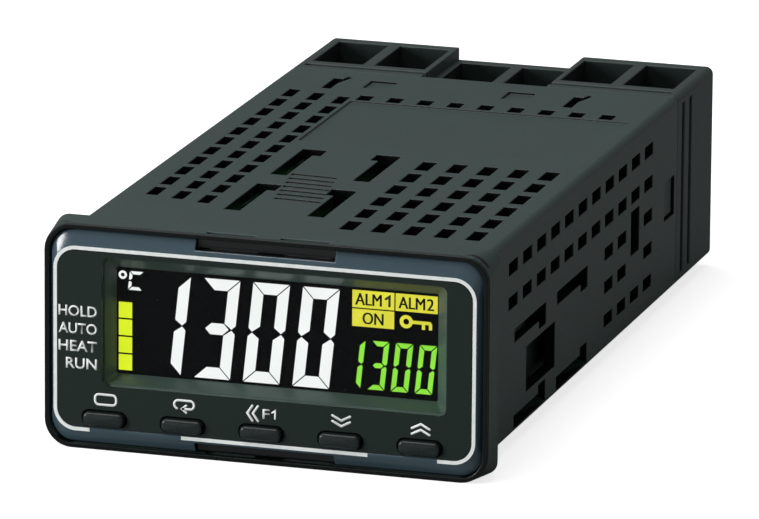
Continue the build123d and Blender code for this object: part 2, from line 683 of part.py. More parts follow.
def window_cut(y0, y1, margin=0.0):
    """Window opening through the face."""
    return plate(WINDOW_WIDTH + 2 * margin, WINDOW_HEIGHT + 2 * margin, WINDOW_CORNER, y0, y1,
                 WINDOW_X, WINDOW_Z)


def key_holes(y0, y1):
    """The five key openings."""
    return [plate(KEY_HOLE_WIDTH, KEY_HOLE_HEIGHT, KEY_HOLE_CORNER, y0, y1, key_x(i), KEY_Z)
            for i in range(len(KEY_NAMES))]


def front_bezel():
    """Front moulding: bevelled face, ring that presses the seal, skirt that slides in the case."""
    outer_corner = FRONT_CORNER - RIM - FIT
    bevel_y = FACE_Y + BEVEL_DROP
    part = taper(FLAT_WIDTH, FLAT_HEIGHT, FLAT_CORNER, FACE_Y, UNIT_W, UNIT_H, outer_corner, bevel_y,
                 z0=FLAT_Z)
    part += plate(UNIT_W, UNIT_H, outer_corner, bevel_y, SEAL_FRONT_Y)
    part -= plate(UNIT_W - 2 * RING_WALL, UNIT_H - 2 * RING_WALL, outer_corner - RING_WALL,
                  FACE_BACK_Y, WEB_FRONT_Y)
    skirt_end = SEAL_FRONT_Y + SKIRT_LENGTH
    part += plate(SKIRT_W, SKIRT_H, CAVITY_CORNER, SEAL_FRONT_Y, skirt_end)
    part -= plate(SKIRT_IN_W, SKIRT_IN_H, INNER_CORNER, WEB_FRONT_Y, skirt_end)
    part -= sheet_blank(FACE_Y, SHEET_BACK_Y, FIT / 2)
    part -= window_cut(FACE_Y, FACE_BACK_Y)
    part -= Part() + key_holes(FACE_Y, FACE_BACK_Y)
    for side in (-1, 1):
        low, high = sorted((side * (UNIT_H / 2 - NOTCH_HEIGHT), side * FRONT_HEIGHT))
        part -= block(-NOTCH_WIDTH / 2, NOTCH_WIDTH / 2, FACE_Y, FACE_Y + NOTCH_DEPTH, low, high)
    return part


def sheet_blank(y0, y1, margin=0.0):
    """Outline of the printed sheet inside the silver line."""
    inset = 2 * LINE_WIDTH - 2 * margin
    return plate(FLAT_WIDTH - inset - 2 * FIT, FLAT_HEIGHT - inset - 2 * FIT, FLAT_CORNER - LINE_WIDTH,
                 y0, y1, z=FLAT_Z)


def front_sheet():
    """Printed sheet in the face, open at the window and the keys."""
    part = sheet_blank(FACE_Y, SHEET_BACK_Y)
    part -= window_cut(FACE_Y, SHEET_BACK_Y)
    part -= Part() + key_holes(FACE_Y, SHEET_BACK_Y)
    return part


def silver_line():
    """Printed line round the flat face, open below in two places."""
    front = FACE_Y - LINE_THICKNESS
    part = plate(FLAT_WIDTH, FLAT_HEIGHT, FLAT_CORNER, front, FACE_Y, z=FLAT_Z)
    part -= plate(FLAT_WIDTH - 2 * LINE_WIDTH, FLAT_HEIGHT - 2 * LINE_WIDTH, FLAT_CORNER - LINE_WIDTH,
                  front, FACE_Y, z=FLAT_Z)
    left = LEFT_BREAK_START - FLAT_WIDTH / 2
    right = FLAT_WIDTH / 2 - RIGHT_BREAK_START
    part -= block(left, left + LEFT_BREAK_LENGTH, front, FACE_Y, -FRONT_HEIGHT / 2, KEY_Z)
    part -= block(right - RIGHT_BREAK_LENGTH, right, front, FACE_Y, -FRONT_HEIGHT / 2, KEY_Z)
    return part


def window_pane():
    """Clear pane flush with the sheet."""
    return plate(WINDOW_WIDTH - 2 * RUNNING, WINDOW_HEIGHT - 2 * RUNNING, WINDOW_CORNER - RUNNING,
                 FACE_Y, FACE_Y + PANE_THICKNESS, WINDOW_X, WINDOW_Z)


def display_frame():
    """Sloping frame between the pane and the display glass, with a flange behind the face."""
    front = FACE_Y + PANE_THICKNESS
    width = WINDOW_WIDTH - 2 * RUNNING
    height = WINDOW_HEIGHT - 2 * RUNNING
    part = plate(width, height, WINDOW_CORNER - RUNNING, front, FACE_BACK_Y, WINDOW_X, WINDOW_Z)
    part += plate(LIT_WIDTH + 2 * GLASS_MARGIN + 2 * FRAME_FLANGE, LIT_HEIGHT + 2 * GLASS_MARGIN,
                  WINDOW_CORNER, FACE_BACK_Y, GLASS_Y, GLASS_X, GLASS_Z)
    part -= taper(width - 2 * FRAME_LIP, height - 2 * FRAME_LIP, WINDOW_CORNER - FRAME_LIP, front,
                  LIT_WIDTH, LIT_HEIGHT, INNER_CORNER, GLASS_Y, WINDOW_X, WINDOW_Z, GLASS_X, GLASS_Z)
    return part


def display_glass():
    """Display glass."""
    return plate(LIT_WIDTH + 2 * GLASS_MARGIN, LIT_HEIGHT + 2 * GLASS_MARGIN, INNER_CORNER,
                 GLASS_Y, GUIDE_Y, GLASS_X, GLASS_Z)


def light_guide():
    """Diffuser that lights the display from behind."""
    return plate(LIT_WIDTH, LIT_HEIGHT, INNER_CORNER, GUIDE_Y, DISPLAY_BOARD_Y, GLASS_X, GLASS_Z)


def fitted(x, z):
    """A width and a height in the display picture, fitted to the lit area."""
    return x * LIT_WIDTH / PICTURE_WIDTH, z * LIT_HEIGHT / PICTURE_HEIGHT


def picture_place(x, z):
    """Centre of a lit field, from its place in the display picture."""
    across, up = fitted(x, z)
    return front_plane(GLASS_Y, GLASS_X + across, GLASS_Z + up)


def lit_field(face, x, z):
    """Thin lit field on the display glass."""
    return extrude(picture_place(x, z) * face, amount=SEGMENT_THICKNESS, dir=(0, -1, 0))


LIT_SEGMENTS = {"0": "abcdef", "1": "bc", "3": "abgcd", "C": "afed"}


def digit_segments(lit, width, height, stroke):
    """Corners of a digit's lit segments: a to f run clockwise from the top, g is the middle one."""
    x = width / 2
    z = height / 2
    mitre = SEGMENT_GAP * sqrt(0.5)
    half = x - stroke - SEGMENT_GAP * (sqrt(2) - 0.5)
    side_in = x - stroke
    bar = [(mitre - x, z), (x - mitre, z), (side_in - mitre, z - stroke), (mitre - side_in, z - stroke)]
    tip = stroke / 3
    post = [(x, z - mitre), (x, tip + SEGMENT_GAP / 2), (x - tip, SEGMENT_GAP / 2),
            (side_in, (stroke + SEGMENT_GAP) / 2), (side_in, z - stroke - mitre)]
    middle = [(half + stroke / 2, 0), (half, stroke / 2), (-half, stroke / 2),
              (-half - stroke / 2, 0), (-half, -stroke / 2), (half, -stroke / 2)]
    forms = {"a": (bar, 1, 1), "b": (post, 1, 1), "c": (post, 1, -1), "d": (bar, 1, -1),
             "e": (post, -1, -1), "f": (post, -1, 1), "g": (middle, 1, 1)}
    segments = []
    for name in lit:
        points, turn_x, turn_z = forms[name]
        segments.append([(turn_x * px, turn_z * pz) for px, pz in points])
    return segments


def number(text, x, z, pitch, width, height, stroke):
    """A row of leaning lit digits centred on x, z."""
    lean = tan(radians(SLANT))
    solids = []
    for i, character in enumerate(text):
        centre = x + (i - (len(text) - 1) / 2) * pitch
        for points in digit_segments(LIT_SEGMENTS[character], width, height, stroke):
            leaned = [fitted(px + pz * lean, pz) for px, pz in points]
            solids.append(lit_field(Polygon(*leaned, align=None), centre, z))
    return solids


def main_digits():
    """Large white digits and the unit mark."""
    solids = number("1300", MAIN_X, MAIN_Z, MAIN_PITCH, MAIN_DIGIT_WIDTH, MAIN_DIGIT_HEIGHT, MAIN_STROKE)
    solids += number("C", UNIT_X, UNIT_Z, 0.0, UNIT_WIDTH, UNIT_HEIGHT, UNIT_STROKE)
    ring = Circle(DEGREE_RADIUS) - Circle(DEGREE_RADIUS - DEGREE_STROKE)
    solids.append(lit_field(ring, DEGREE_X, DEGREE_Z))
    return solids


def set_digits():
    """Small green digits of the set value."""
    return number("1300", SET_X, SET_Z, SET_PITCH, SET_DIGIT_WIDTH, SET_DIGIT_HEIGHT, SET_STROKE)


def status_bars():
    """Column of bars beside the four status words."""
    bars = []
    for i in range(BAR_COUNT):
        z = BAR_Z + ((BAR_COUNT - 1) / 2 - i) * BAR_PITCH
        bars.append(lit_field(Rectangle(*fitted(BAR_WIDTH, BAR_PITCH - BAR_GAP)), BAR_X, z))
    return bars


def status_flags():
    """Three flags and the key mark of the setting lock."""
    step = FLAG_HEIGHT + FLAG_GAP
    flags = []
    for column, row in ((0, 0), (1, 0), (0, 1)):
        flag = Rectangle(*fitted(FLAG_WIDTH, FLAG_HEIGHT))
        flags.append(lit_field(flag, FLAG_X + column * (FLAG_WIDTH + FLAG_GAP), FLAG_Z - row * step))
    shaft = Pos(LOCK_RADIUS + LOCK_LENGTH / 2 - LOCK_STROKE / 2, 0) * Rectangle(LOCK_LENGTH, LOCK_STROKE)
    mark = Circle(LOCK_RADIUS) - Circle(LOCK_HOLE) + shaft
    for tooth in LOCK_TEETH:
        mark += Pos(LOCK_RADIUS + tooth, -LOCK_TOOTH / 2) * Rectangle(LOCK_STROKE, LOCK_TOOTH)
    flags.append(lit_field(mark, LOCK_X, FLAG_Z - step))
    return flags


def key(index):
    """Key: rounded cap in its opening, flange behind the face, stem towards its switch."""
    x = key_x(index)
    width = KEY_HOLE_WIDTH - 2 * KEY_GAP_X
    height = KEY_HOLE_HEIGHT - 2 * KEY_GAP_Z
    corner = KEY_HOLE_CORNER - KEY_GAP_Z - RUNNING
    cap = plate(width, height, corner, FACE_Y - KEY_PROUD, FACE_BACK_Y + RUNNING, x, KEY_Z)
    cap = chamfer(cap.faces().sort_by(Axis.Y)[0].edges(), KEY_CHAMFER)
    flange_y = FACE_BACK_Y + RUNNING
    flange_back = flange_y + KEY_FLANGE_THICKNESS
    flange = plate(KEY_HOLE_WIDTH + 2 * KEY_FLANGE_MARGIN, KEY_HOLE_HEIGHT + 2 * KEY_FLANGE_MARGIN,
                   KEY_HOLE_CORNER, flange_y, flange_back, x, KEY_Z)
    half_w = STEM_WIDTH / 2
    half_h = STEM_HEIGHT / 2
    stem = block(x - half_w, x + half_w, flange_back, SWITCH_FACE_Y - KEY_TRAVEL - RUNNING,
                 SWITCH_Z - half_h, SWITCH_Z + half_h)
    return cap + flange + stem


def key_switches():
    """Small push switches on the display board, one behind each key."""
    switches = []
    for i in range(len(KEY_NAMES)):
        x = key_x(i)
        body = block(x - SWITCH_WIDTH / 2, x + SWITCH_WIDTH / 2, DISPLAY_BOARD_Y - SWITCH_DEPTH,
                     DISPLAY_BOARD_Y, SWITCH_Z - SWITCH_HEIGHT / 2, SWITCH_Z + SWITCH_HEIGHT / 2)
        plunger = rod(PLUNGER_RADIUS, x, SWITCH_FACE_Y, DISPLAY_BOARD_Y - SWITCH_DEPTH, SWITCH_Z)
        switches.append(body + plunger)
    return switches


def bezel_seal():
    """Rubber ring between the front unit and the floor of the flange pocket."""
    corner = FRONT_CORNER - RIM - FIT
    part = plate(UNIT_W, UNIT_H, corner, SEAL_FRONT_Y, FLOOR_Y)
    part -= plate(UNIT_W - 2 * SEAL_WIDTH, UNIT_H - 2 * SEAL_WIDTH, corner - SEAL_WIDTH,
                  SEAL_FRONT_Y, FLOOR_Y)
    return part


def display_board():
    """Circuit board behind the display, inside the skirt."""
    return plate(SKIRT_IN_W - 2 * FIT, SKIRT_IN_H - 2 * FIT, INNER_CORNER, DISPLAY_BOARD_Y, FRAME_PLATE_Y)


def backlights():
    """Light-emitting diodes at both ends of the light guide."""
    diodes = []
    for side in (-1, 1):
        near = GLASS_X + side * (LIT_WIDTH / 2 + LEAD_CLEARANCE)
        low, high = sorted((near, near + side * LIGHT_DEPTH))
        for z in (GLASS_Z - LIGHT_PITCH / 2, GLASS_Z + LIGHT_PITCH / 2):
            diodes.append(block(low, high, DISPLAY_BOARD_Y - LIGHT_DEPTH, DISPLAY_BOARD_Y,
                                z - LIGHT_WIDTH / 2, z + LIGHT_WIDTH / 2))
    return diodes


def contact_strip():
    """Striped rubber strip that joins the display glass to its board."""
    z = GLASS_Z + LIT_HEIGHT / 2 + GLASS_MARGIN / 2
    return block(GLASS_X - LIT_WIDTH / 2, GLASS_X + LIT_WIDTH / 2, GUIDE_Y, DISPLAY_BOARD_Y,
                 z - STRIP_WIDTH / 2, z + STRIP_WIDTH / 2)


def board_frame():
    """Frame that carries the two long boards: front border, side rails and ledges."""
    outer_w = 2 * (RAIL_X + RAIL_THICKNESS)
    part = plate(outer_w, RAIL_HEIGHT, INNER_CORNER, FRAME_PLATE_Y, FRAME_PLATE_Y + FRAME_PLATE)
    part -= plate(outer_w - 2 * FRAME_BORDER, RAIL_HEIGHT - 2 * FRAME_BORDER, INNER_CORNER,
                  FRAME_PLATE_Y, FRAME_PLATE_Y + FRAME_PLATE)
    for side in (-1, 1):
        low, high = sorted((side * RAIL_X, side * (RAIL_X + RAIL_THICKNESS)))
        rail = block(low, high, FRAME_PLATE_Y, RAIL_END, -RAIL_HEIGHT / 2, RAIL_HEIGHT / 2)
        pitch = (RAIL_END - BOARD_START) / RAIL_WINDOW_COUNT
        for i in range(RAIL_WINDOW_COUNT):
            y = BOARD_START + i * pitch
            rail -= block(low, high, y + RAIL_BAR / 2, y + pitch - RAIL_BAR / 2,
                          RAIL_EDGE - RAIL_HEIGHT / 2, RAIL_HEIGHT / 2 - RAIL_EDGE)
        part += rail
        near, far = sorted((side * (RAIL_X - LEDGE_WIDTH), side * RAIL_X))
        for row in (-1, 1):
            bottom, top = sorted((row * (BOARD_INNER_Z - LEDGE_THICKNESS), row * BOARD_INNER_Z))
            part += block(near, far, BOARD_START, RAIL_END, bottom, top)
    return part


def long_board(row):
    """Board along the case, below (row -1) or above (row 1) the middle."""
    low, high = sorted((row * BOARD_INNER_Z, row * (BOARD_INNER_Z + BOARD_THICKNESS)))
    return block(-BOARD_WIDTH / 2, BOARD_WIDTH / 2, BOARD_START, BOARD_END, low, high)


def board_headers():
    """Angled connectors from the display board to the two long boards."""
    headers = []
    for row in (-1, 1):
        low, high = sorted((row * (BOARD_INNER_Z - HEADER_HEIGHT), row * BOARD_INNER_Z))
        foot_z = row * (RAIL_HEIGHT / 2 - FRAME_BORDER - FIT)
        foot = block(-HEADER_WIDTH / 2, HEADER_WIDTH / 2, FRAME_PLATE_Y, BOARD_START,
                     foot_z, row * (BOARD_INNER_Z - HEADER_HEIGHT))
        body = block(-HEADER_WIDTH / 2, HEADER_WIDTH / 2, BOARD_START, BOARD_START + HEADER_LENGTH, low, high)
        headers.append(foot + body)
    return headers


def on_board(row, x, y, width, length, height):
    """Box-shaped part of given size seated on the inner side of a long board."""
    low, high = sorted((row * (BOARD_INNER_Z - height), row * BOARD_INNER_Z))
    return block(x - width / 2, x + width / 2, y - length / 2, y + length / 2, low, high)


def row_places(lengths):
    """Centres of the parts in one row along a board, with equal gaps from the header to the tongues."""
    start = BOARD_START + HEADER_LENGTH
    gap = (TONGUE_END - start - sum(lengths)) / (len(lengths) + 1)
    places = []
    for length in lengths:
        places.append(start + gap + length / 2)
        start += gap + length
    return places


def left_row():
    """Places along Y of the capacitors, the transformer and the optocouplers."""
    return row_places([2 * CAPACITOR_RADIUS, CORE_LENGTH, OPTO_LENGTH])


def right_row():
    """Places along Y of the film capacitor, the surge disc, the choke and the relay."""
    return row_places([SUPPRESSOR_LENGTH, VARISTOR_THICKNESS, 2 * CHOKE_RADIUS, RELAY_LENGTH])


def from_right(width):
    """Centre along X of a part of that width beside the right edge of a board."""
    return BOARD_WIDTH / 2 - EDGE_GAP - width / 2


def transformer_place():
    """Centre of the transformer."""
    return CORE_SHIFT + CORE_WIDTH / 2 - BOARD_WIDTH / 2, left_row()[1]


def transformer_core():
    """Ferrite core of the transformer: two legs, two yokes and a centre leg."""
    x, y = transformer_place()
    part = on_board(-1, x, y, CORE_WIDTH, CORE_LENGTH, SPACE - CORE_HEADROOM)
    window = (CORE_WIDTH - 2 * CORE_LEG - CORE_CENTRE) / 2
    for side in (-1, 1):
        centre = x + side * (CORE_CENTRE + window) / 2
        part -= block(centre - window / 2, centre + window / 2, y - CORE_LENGTH / 2 + CORE_LEG,
                      y + CORE_LENGTH / 2 - CORE_LEG, -BOARD_INNER_Z, BOARD_INNER_Z)
    return part


def transformer_coil():
    """Wound bobbin round the centre leg of the core."""
    x, y = transformer_place()
    window = (CORE_WIDTH - 2 * CORE_LEG - CORE_CENTRE) / 2
    outer = CORE_CENTRE / 2 + window - RUNNING
    inner = CORE_CENTRE / 2 + RUNNING
    half = CORE_LENGTH / 2 - CORE_LEG - RUNNING
    top = BOARD_INNER_Z - CORE_HEADROOM + COIL_PROUD
    coil = block(x - outer, x + outer, y - half, y + half, -BOARD_INNER_Z, top)
    return coil - block(x - inner, x + inner, y - half, y + half, -BOARD_INNER_Z, top - COIL_PROUD + RUNNING)


def standing_cylinder(row, x, y, radius, height):
    """Round part standing on the inner side of a long board."""
    base = Plane(origin=(x, y, row * BOARD_INNER_Z), x_dir=(1, 0, 0), z_dir=(0, 0, -row))
    can = extrude(base * Circle(radius), amount=height)
    return chamfer(can.faces().sort_by(Axis.Z)[0 if row > 0 else -1].edges(), CAN_CHAMFER)


def smoothing_capacitors():
    """Electrolytic capacitors on the power board."""
    x = EDGE_GAP + CAPACITOR_RADIUS - BOARD_WIDTH / 2
    height = SPACE - CAPACITOR_HEADROOM
    return [standing_cylinder(-1, x + step, left_row()[0], CAPACITOR_RADIUS, height)
            for step in (0.0, CAPACITOR_PITCH)]


def output_relay():
    """Relay of the control output."""
    return on_board(-1, from_right(RELAY_WIDTH), right_row()[3], RELAY_WIDTH, RELAY_LENGTH,
                    SPACE - RELAY_HEADROOM)


def suppression_capacitor():
    """Boxed film capacitor across the supply."""
    return on_board(-1, from_right(SUPPRESSOR_WIDTH), right_row()[0], SUPPRESSOR_WIDTH, SUPPRESSOR_LENGTH,
                    SPACE - SUPPRESSOR_HEADROOM)


def surge_resistor():
    """Disc that absorbs surges, standing on edge."""
    x = from_right(2 * VARISTOR_RADIUS)
    y = right_row()[1]
    disc = rod(VARISTOR_RADIUS, x, y - VARISTOR_THICKNESS / 2, y + VARISTOR_THICKNESS / 2,
               -BOARD_INNER_Z + VARISTOR_RADIUS + LEAD_LENGTH)
    for side in (-1, 1):
        lead_x = x + side * LEAD_OFFSET
        disc += block(lead_x - LEAD_SIZE, lead_x + LEAD_SIZE, y - LEAD_SIZE, y + LEAD_SIZE,
                      -BOARD_INNER_Z, -BOARD_INNER_Z + VARISTOR_RADIUS)
    return disc


def filter_choke():
    """Drum-core choke."""
    x = from_right(2 * CHOKE_RADIUS)
    y = right_row()[2]
    part = standing_cylinder(-1, x, y, CHOKE_RADIUS, CHOKE_HEIGHT)
    waist_low = -BOARD_INNER_Z + CHOKE_FLANGE
    waist_high = -BOARD_INNER_Z + CHOKE_HEIGHT - CHOKE_FLANGE
    ring = Pos(x, y, (waist_low + waist_high) / 2) * Cylinder(CHOKE_RADIUS, waist_high - waist_low)
    core = Pos(x, y, (waist_low + waist_high) / 2) * Cylinder(CHOKE_WAIST, waist_high - waist_low)
    return part - (ring - core)


def chip(row, x, y, width, length, height, lead_count, lead_pitch, along_x=False):
    """Moulded chip with a comb of leads on two sides."""
    body = on_board(row, x, y, width, length, height)
    lift = row * CHIP_STANDOFF
    part = Pos(0, 0, -lift) * body
    for side in (-1, 1):
        for i in range(lead_count):
            shift = (i - (lead_count - 1) / 2) * lead_pitch
            lead_x = x + shift if along_x else x + side * (width / 2 + CHIP_LEAD / 2)
            lead_y = y + side * (length / 2 + CHIP_LEAD / 2) if along_x else y + shift
            size_x = CHIP_LEAD_WIDTH if along_x else CHIP_LEAD
            size_y = CHIP_LEAD if along_x else CHIP_LEAD_WIDTH
            part += on_board(row, lead_x, lead_y, size_x, size_y, height / 2 + CHIP_STANDOFF)
    return part


def control_row():
    """Places along Y of the processor and the crystal."""
    return row_places([PROCESSOR_SIZE + 2 * CHIP_LEAD, CRYSTAL_LENGTH])


def main_processor():
    """Processor on the control board, leads on all four sides."""
    y = control_row()[0]
    size = (PROCESSOR_SIZE, PROCESSOR_SIZE, CHIP_HEIGHT)
    part = chip(1, PROCESSOR_X, y, *size, PROCESSOR_LEAD_COUNT, PROCESSOR_PITCH)
    part += chip(1, PROCESSOR_X, y, *size, PROCESSOR_LEAD_COUNT, PROCESSOR_PITCH, True)
    return part


def input_chips():
    """Amplifier, converter and memory chips on the control board."""
    size = (SMALL_CHIP_WIDTH, SMALL_CHIP_LENGTH, CHIP_HEIGHT)
    places = row_places([SMALL_CHIP_LENGTH] * SMALL_CHIP_COUNT)
    return [chip(1, SMALL_CHIP_X, y, *size, SMALL_CHIP_LEAD_COUNT, SMALL_CHIP_PITCH) for y in places]


def optocouplers():
    """Optocouplers between the two sides of the circuit."""
    size = (OPTO_WIDTH, OPTO_LENGTH, OPTO_HEIGHT)
    y = left_row()[2]
    span = OPTO_WIDTH + 2 * CHIP_LEAD
    x = OPTO_EDGE + span / 2 - BOARD_WIDTH / 2
    return [chip(-1, x + step, y, *size, OPTO_LEAD_COUNT, OPTO_PITCH) for step in (0.0, span + OPTO_GAP)]


def crystal_can():
    """Metal can of the quartz crystal."""
    return on_board(1, CRYSTAL_X, control_row()[1], CRYSTAL_WIDTH, CRYSTAL_LENGTH, CRYSTAL_HEIGHT)


def board_pads():
    """Gold pads at the rear ends of the boards, facing the contact tongues."""
    pads = []
    for row in (-1, 1):
        for x in column_xs():
            low, high = sorted((row * (BOARD_INNER_Z - PAD_THICKNESS), row * BOARD_INNER_Z))
            half = TONGUE_WIDTH / 2 + FIT
            pads.append(block(tongue_x(x) - half, tongue_x(x) + half, TONGUE_END, BOARD_END, low, high))
    return pads


SOLIDS = {
    "rear_case": rear_case,
    "terminal_block": terminal_block,
    "terminal_plates": terminal_plates,
    "terminal_screws": terminal_screws,
    "terminal_washers": terminal_washers,
    "front_bezel": front_bezel,
    "front_sheet": front_sheet,
    "silver_line": silver_line,
    "window_pane": window_pane,
    "display_frame": display_frame,
    "display_glass": display_glass,
    "main_digits": main_digits,
    "set_digits": set_digits,
    "status_bars": status_bars,
    "status_flags": status_flags,
    "light_guide": light_guide,
    "backlights": backlights,
    "contact_strip": contact_strip,
    "display_board": display_board,
    "key_switches": key_switches,
    "bezel_seal": bezel_seal,
    "board_frame": board_frame,
    "board_headers": board_headers,
    "board_pads": board_pads,
    "transformer_core": transformer_core,
    "transformer_coil": transformer_coil,
    "smoothing_capacitors": smoothing_capacitors,
    "output_relay": output_relay,
    "suppression_capacitor": suppression_capacitor,
    "surge_resistor": surge_resistor,
    "filter_choke": filter_choke,
    "main_processor": main_processor,
    "input_chips": input_chips,
    "optocouplers": optocouplers,
    "crystal_can": crystal_can,
}


def write(name, shape):
    """Write one sub-part, a single solid or a group of separate ones."""
    if isinstance(shape, list):
        shape = Compound(children=[s.solid() for s in shape])
    export_step(shape, f"parts/{name}.step")


os.makedirs("parts", exist_ok=True)
for node, make in SOLIDS.items():
    write(node, make())
write("power_board", long_board(-1))
write("control_board", long_board(1))
for number_from_left, node in enumerate(KEY_NAMES):
    write(node, key(number_from_left))
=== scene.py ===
import json
import math
import bmesh
import bpy
import numpy as np
from mathutils import Matrix, Vector

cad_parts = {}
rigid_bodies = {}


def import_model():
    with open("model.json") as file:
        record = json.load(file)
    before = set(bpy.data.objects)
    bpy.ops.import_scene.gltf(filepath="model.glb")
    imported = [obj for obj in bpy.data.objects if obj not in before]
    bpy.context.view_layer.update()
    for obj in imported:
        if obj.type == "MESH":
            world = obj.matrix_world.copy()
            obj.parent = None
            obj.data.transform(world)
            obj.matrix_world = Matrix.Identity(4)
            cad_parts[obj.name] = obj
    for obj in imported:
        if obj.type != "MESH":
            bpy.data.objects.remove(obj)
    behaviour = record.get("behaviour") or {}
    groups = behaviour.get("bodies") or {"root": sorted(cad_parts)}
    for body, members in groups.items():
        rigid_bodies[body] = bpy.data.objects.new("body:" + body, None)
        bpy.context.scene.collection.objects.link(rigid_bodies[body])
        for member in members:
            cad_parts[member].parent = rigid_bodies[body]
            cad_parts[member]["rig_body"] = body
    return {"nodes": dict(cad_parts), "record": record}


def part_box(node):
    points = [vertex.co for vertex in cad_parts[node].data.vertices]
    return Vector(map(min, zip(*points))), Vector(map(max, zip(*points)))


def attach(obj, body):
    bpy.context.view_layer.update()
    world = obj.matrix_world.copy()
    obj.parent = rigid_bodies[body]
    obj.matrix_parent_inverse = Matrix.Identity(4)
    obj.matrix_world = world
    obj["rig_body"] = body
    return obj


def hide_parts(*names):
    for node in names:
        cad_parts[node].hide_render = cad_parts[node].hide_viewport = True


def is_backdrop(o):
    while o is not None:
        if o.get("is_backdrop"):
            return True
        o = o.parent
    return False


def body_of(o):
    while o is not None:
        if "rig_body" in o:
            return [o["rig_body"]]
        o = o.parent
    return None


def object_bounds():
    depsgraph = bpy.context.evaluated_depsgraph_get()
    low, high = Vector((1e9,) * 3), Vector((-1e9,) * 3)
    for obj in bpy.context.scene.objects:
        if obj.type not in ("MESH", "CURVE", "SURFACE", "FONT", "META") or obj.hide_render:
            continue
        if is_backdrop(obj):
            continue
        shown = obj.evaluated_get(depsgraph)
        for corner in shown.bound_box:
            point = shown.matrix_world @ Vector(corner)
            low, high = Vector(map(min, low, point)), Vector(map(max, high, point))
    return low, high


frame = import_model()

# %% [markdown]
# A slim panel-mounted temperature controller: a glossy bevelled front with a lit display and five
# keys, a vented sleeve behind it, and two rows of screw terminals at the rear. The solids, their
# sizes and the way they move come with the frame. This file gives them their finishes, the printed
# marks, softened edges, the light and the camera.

MM = 0.001
NODES = frame["nodes"]
CAD_LOW, CAD_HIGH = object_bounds()
print("CAD box in mm:", [round(v / MM, 2) for v in CAD_HIGH - CAD_LOW])

# %% [markdown]
# Colours are written as the sRGB codes that a paint chart or a picture editor shows. The shaders
# work with linear light, so one function turns a code into linear numbers. A second small function
# adds a shader node with its settings and its links, which keeps every material short.

# %% Colour and node helpers
def linear(code, level=1.0):
    """Linear colour of an sRGB hex code, a straight line near black and then a power, times a level."""
    value = np.array([int(code[i:i + 2], 16) for i in (1, 3, 5)]) / 255
    light = np.where(value <= 0.04045, value / 12.92, ((value + 0.055) / 1.055) ** 2.4)
    return (*(light * level).tolist(), 1.0)


def add(tree, kind, sockets=None, **settings):
    """Add a shader node, set its properties, and fill its sockets with numbers or links."""
    made = tree.nodes.new(kind)
    for key, value in settings.items():
        setattr(made, key, value)
    for key, value in (sockets or {}).items():
        if isinstance(value, bpy.types.NodeSocket):
            tree.links.new(value, made.inputs[key])
        else:
            made.inputs[key].default_value = value
    return made


def start_material(name):
    """An empty material: its node tree, and the point that its patterns are laid out from."""
    material = bpy.data.materials.new(name)
    material.use_nodes = True
    material.node_tree.nodes.clear()
    place = add(material.node_tree, "ShaderNodeTexCoord")
    return material, material.node_tree, place.outputs["Object"]


def close_material(tree, shader):
    """Link the finished shader to the surface."""
    add(tree, "ShaderNodeOutputMaterial", {"Surface": shader.outputs[0]})


def noise(tree, place, size_mm, detail=2.0, stretch=(1.0, 1.0, 1.0)):
    """Noise whose grains measure size_mm, drawn out by the three stretch factors."""
    spread = add(tree, "ShaderNodeMapping", {"Vector": place, "Scale": tuple(1 / s for s in stretch)})
    grain = add(tree, "ShaderNodeTexNoise", {"Vector": spread.outputs[0], "Scale": 1 / (size_mm * MM),
                                             "Detail": detail, "Roughness": 0.55})
    return grain.outputs["Fac"]


def blend(tree, factor, code_a, code_b):
    """Colour between two codes, by a factor from 0 to 1."""
    mixed = add(tree, "ShaderNodeMix", {"Factor": factor, "A": linear(code_a), "B": linear(code_b)},
                data_type="RGBA")
    return mixed.outputs["Result"]


def between(tree, value, low, high, start=0.3, end=0.7):
    """A value that runs from low to high while the given one runs from start to end."""
    scaled = add(tree, "ShaderNodeMapRange", {"Value": value, "From Min": start, "From Max": end,
                                              "To Min": low, "To Max": high})
    return scaled.outputs["Result"]


print("middle grey #808080 in linear light:", round(linear("#808080")[0], 3))

# %% [markdown]
# The sleeve and the rear block are moulded in a dark grey flame-retardant plastic (a PPE or ABS
# blend). The mould is spark-eroded, which leaves a fine matt grain, and the melt leaves faint
# clouds of tone where it flowed. Grain that small is under a pixel here, so it is drawn at 0.22 mm,
# about twice its real size, as a shallow bump with a slight change of roughness. The same recipe,
# with other colours and gloss, serves every moulded or cast plastic and rubber piece.

# %% Moulded plastics
def moulded_plastic(name, code, roughness, grain_mm=0.22, relief=0.5, tone=0.10, ior=1.52, **more):
    """Matt or glossy plastic: clouds of tone, fine grain in the relief and in the roughness."""
    material, tree, place = start_material(name)
    clouds = add(tree, "ShaderNodeMix", {"Factor": noise(tree, place, 9, 3.0), "A": linear(code, 1 - tone),
                                         "B": linear(code, 1 + tone)}, data_type="RGBA")
    grain = noise(tree, place, grain_mm)
    bump = add(tree, "ShaderNodeBump", {"Height": grain, "Strength": relief, "Distance": grain_mm * MM * 0.2})
    shader = add(tree, "ShaderNodeBsdfPrincipled", {"Base Color": clouds.outputs["Result"],
                                                    "Roughness": between(tree, grain, roughness - 0.04,
                                                                         roughness + 0.05),
                                                    "IOR": ior, "Normal": bump.outputs["Normal"], **more})
    close_material(tree, shader)
    return material


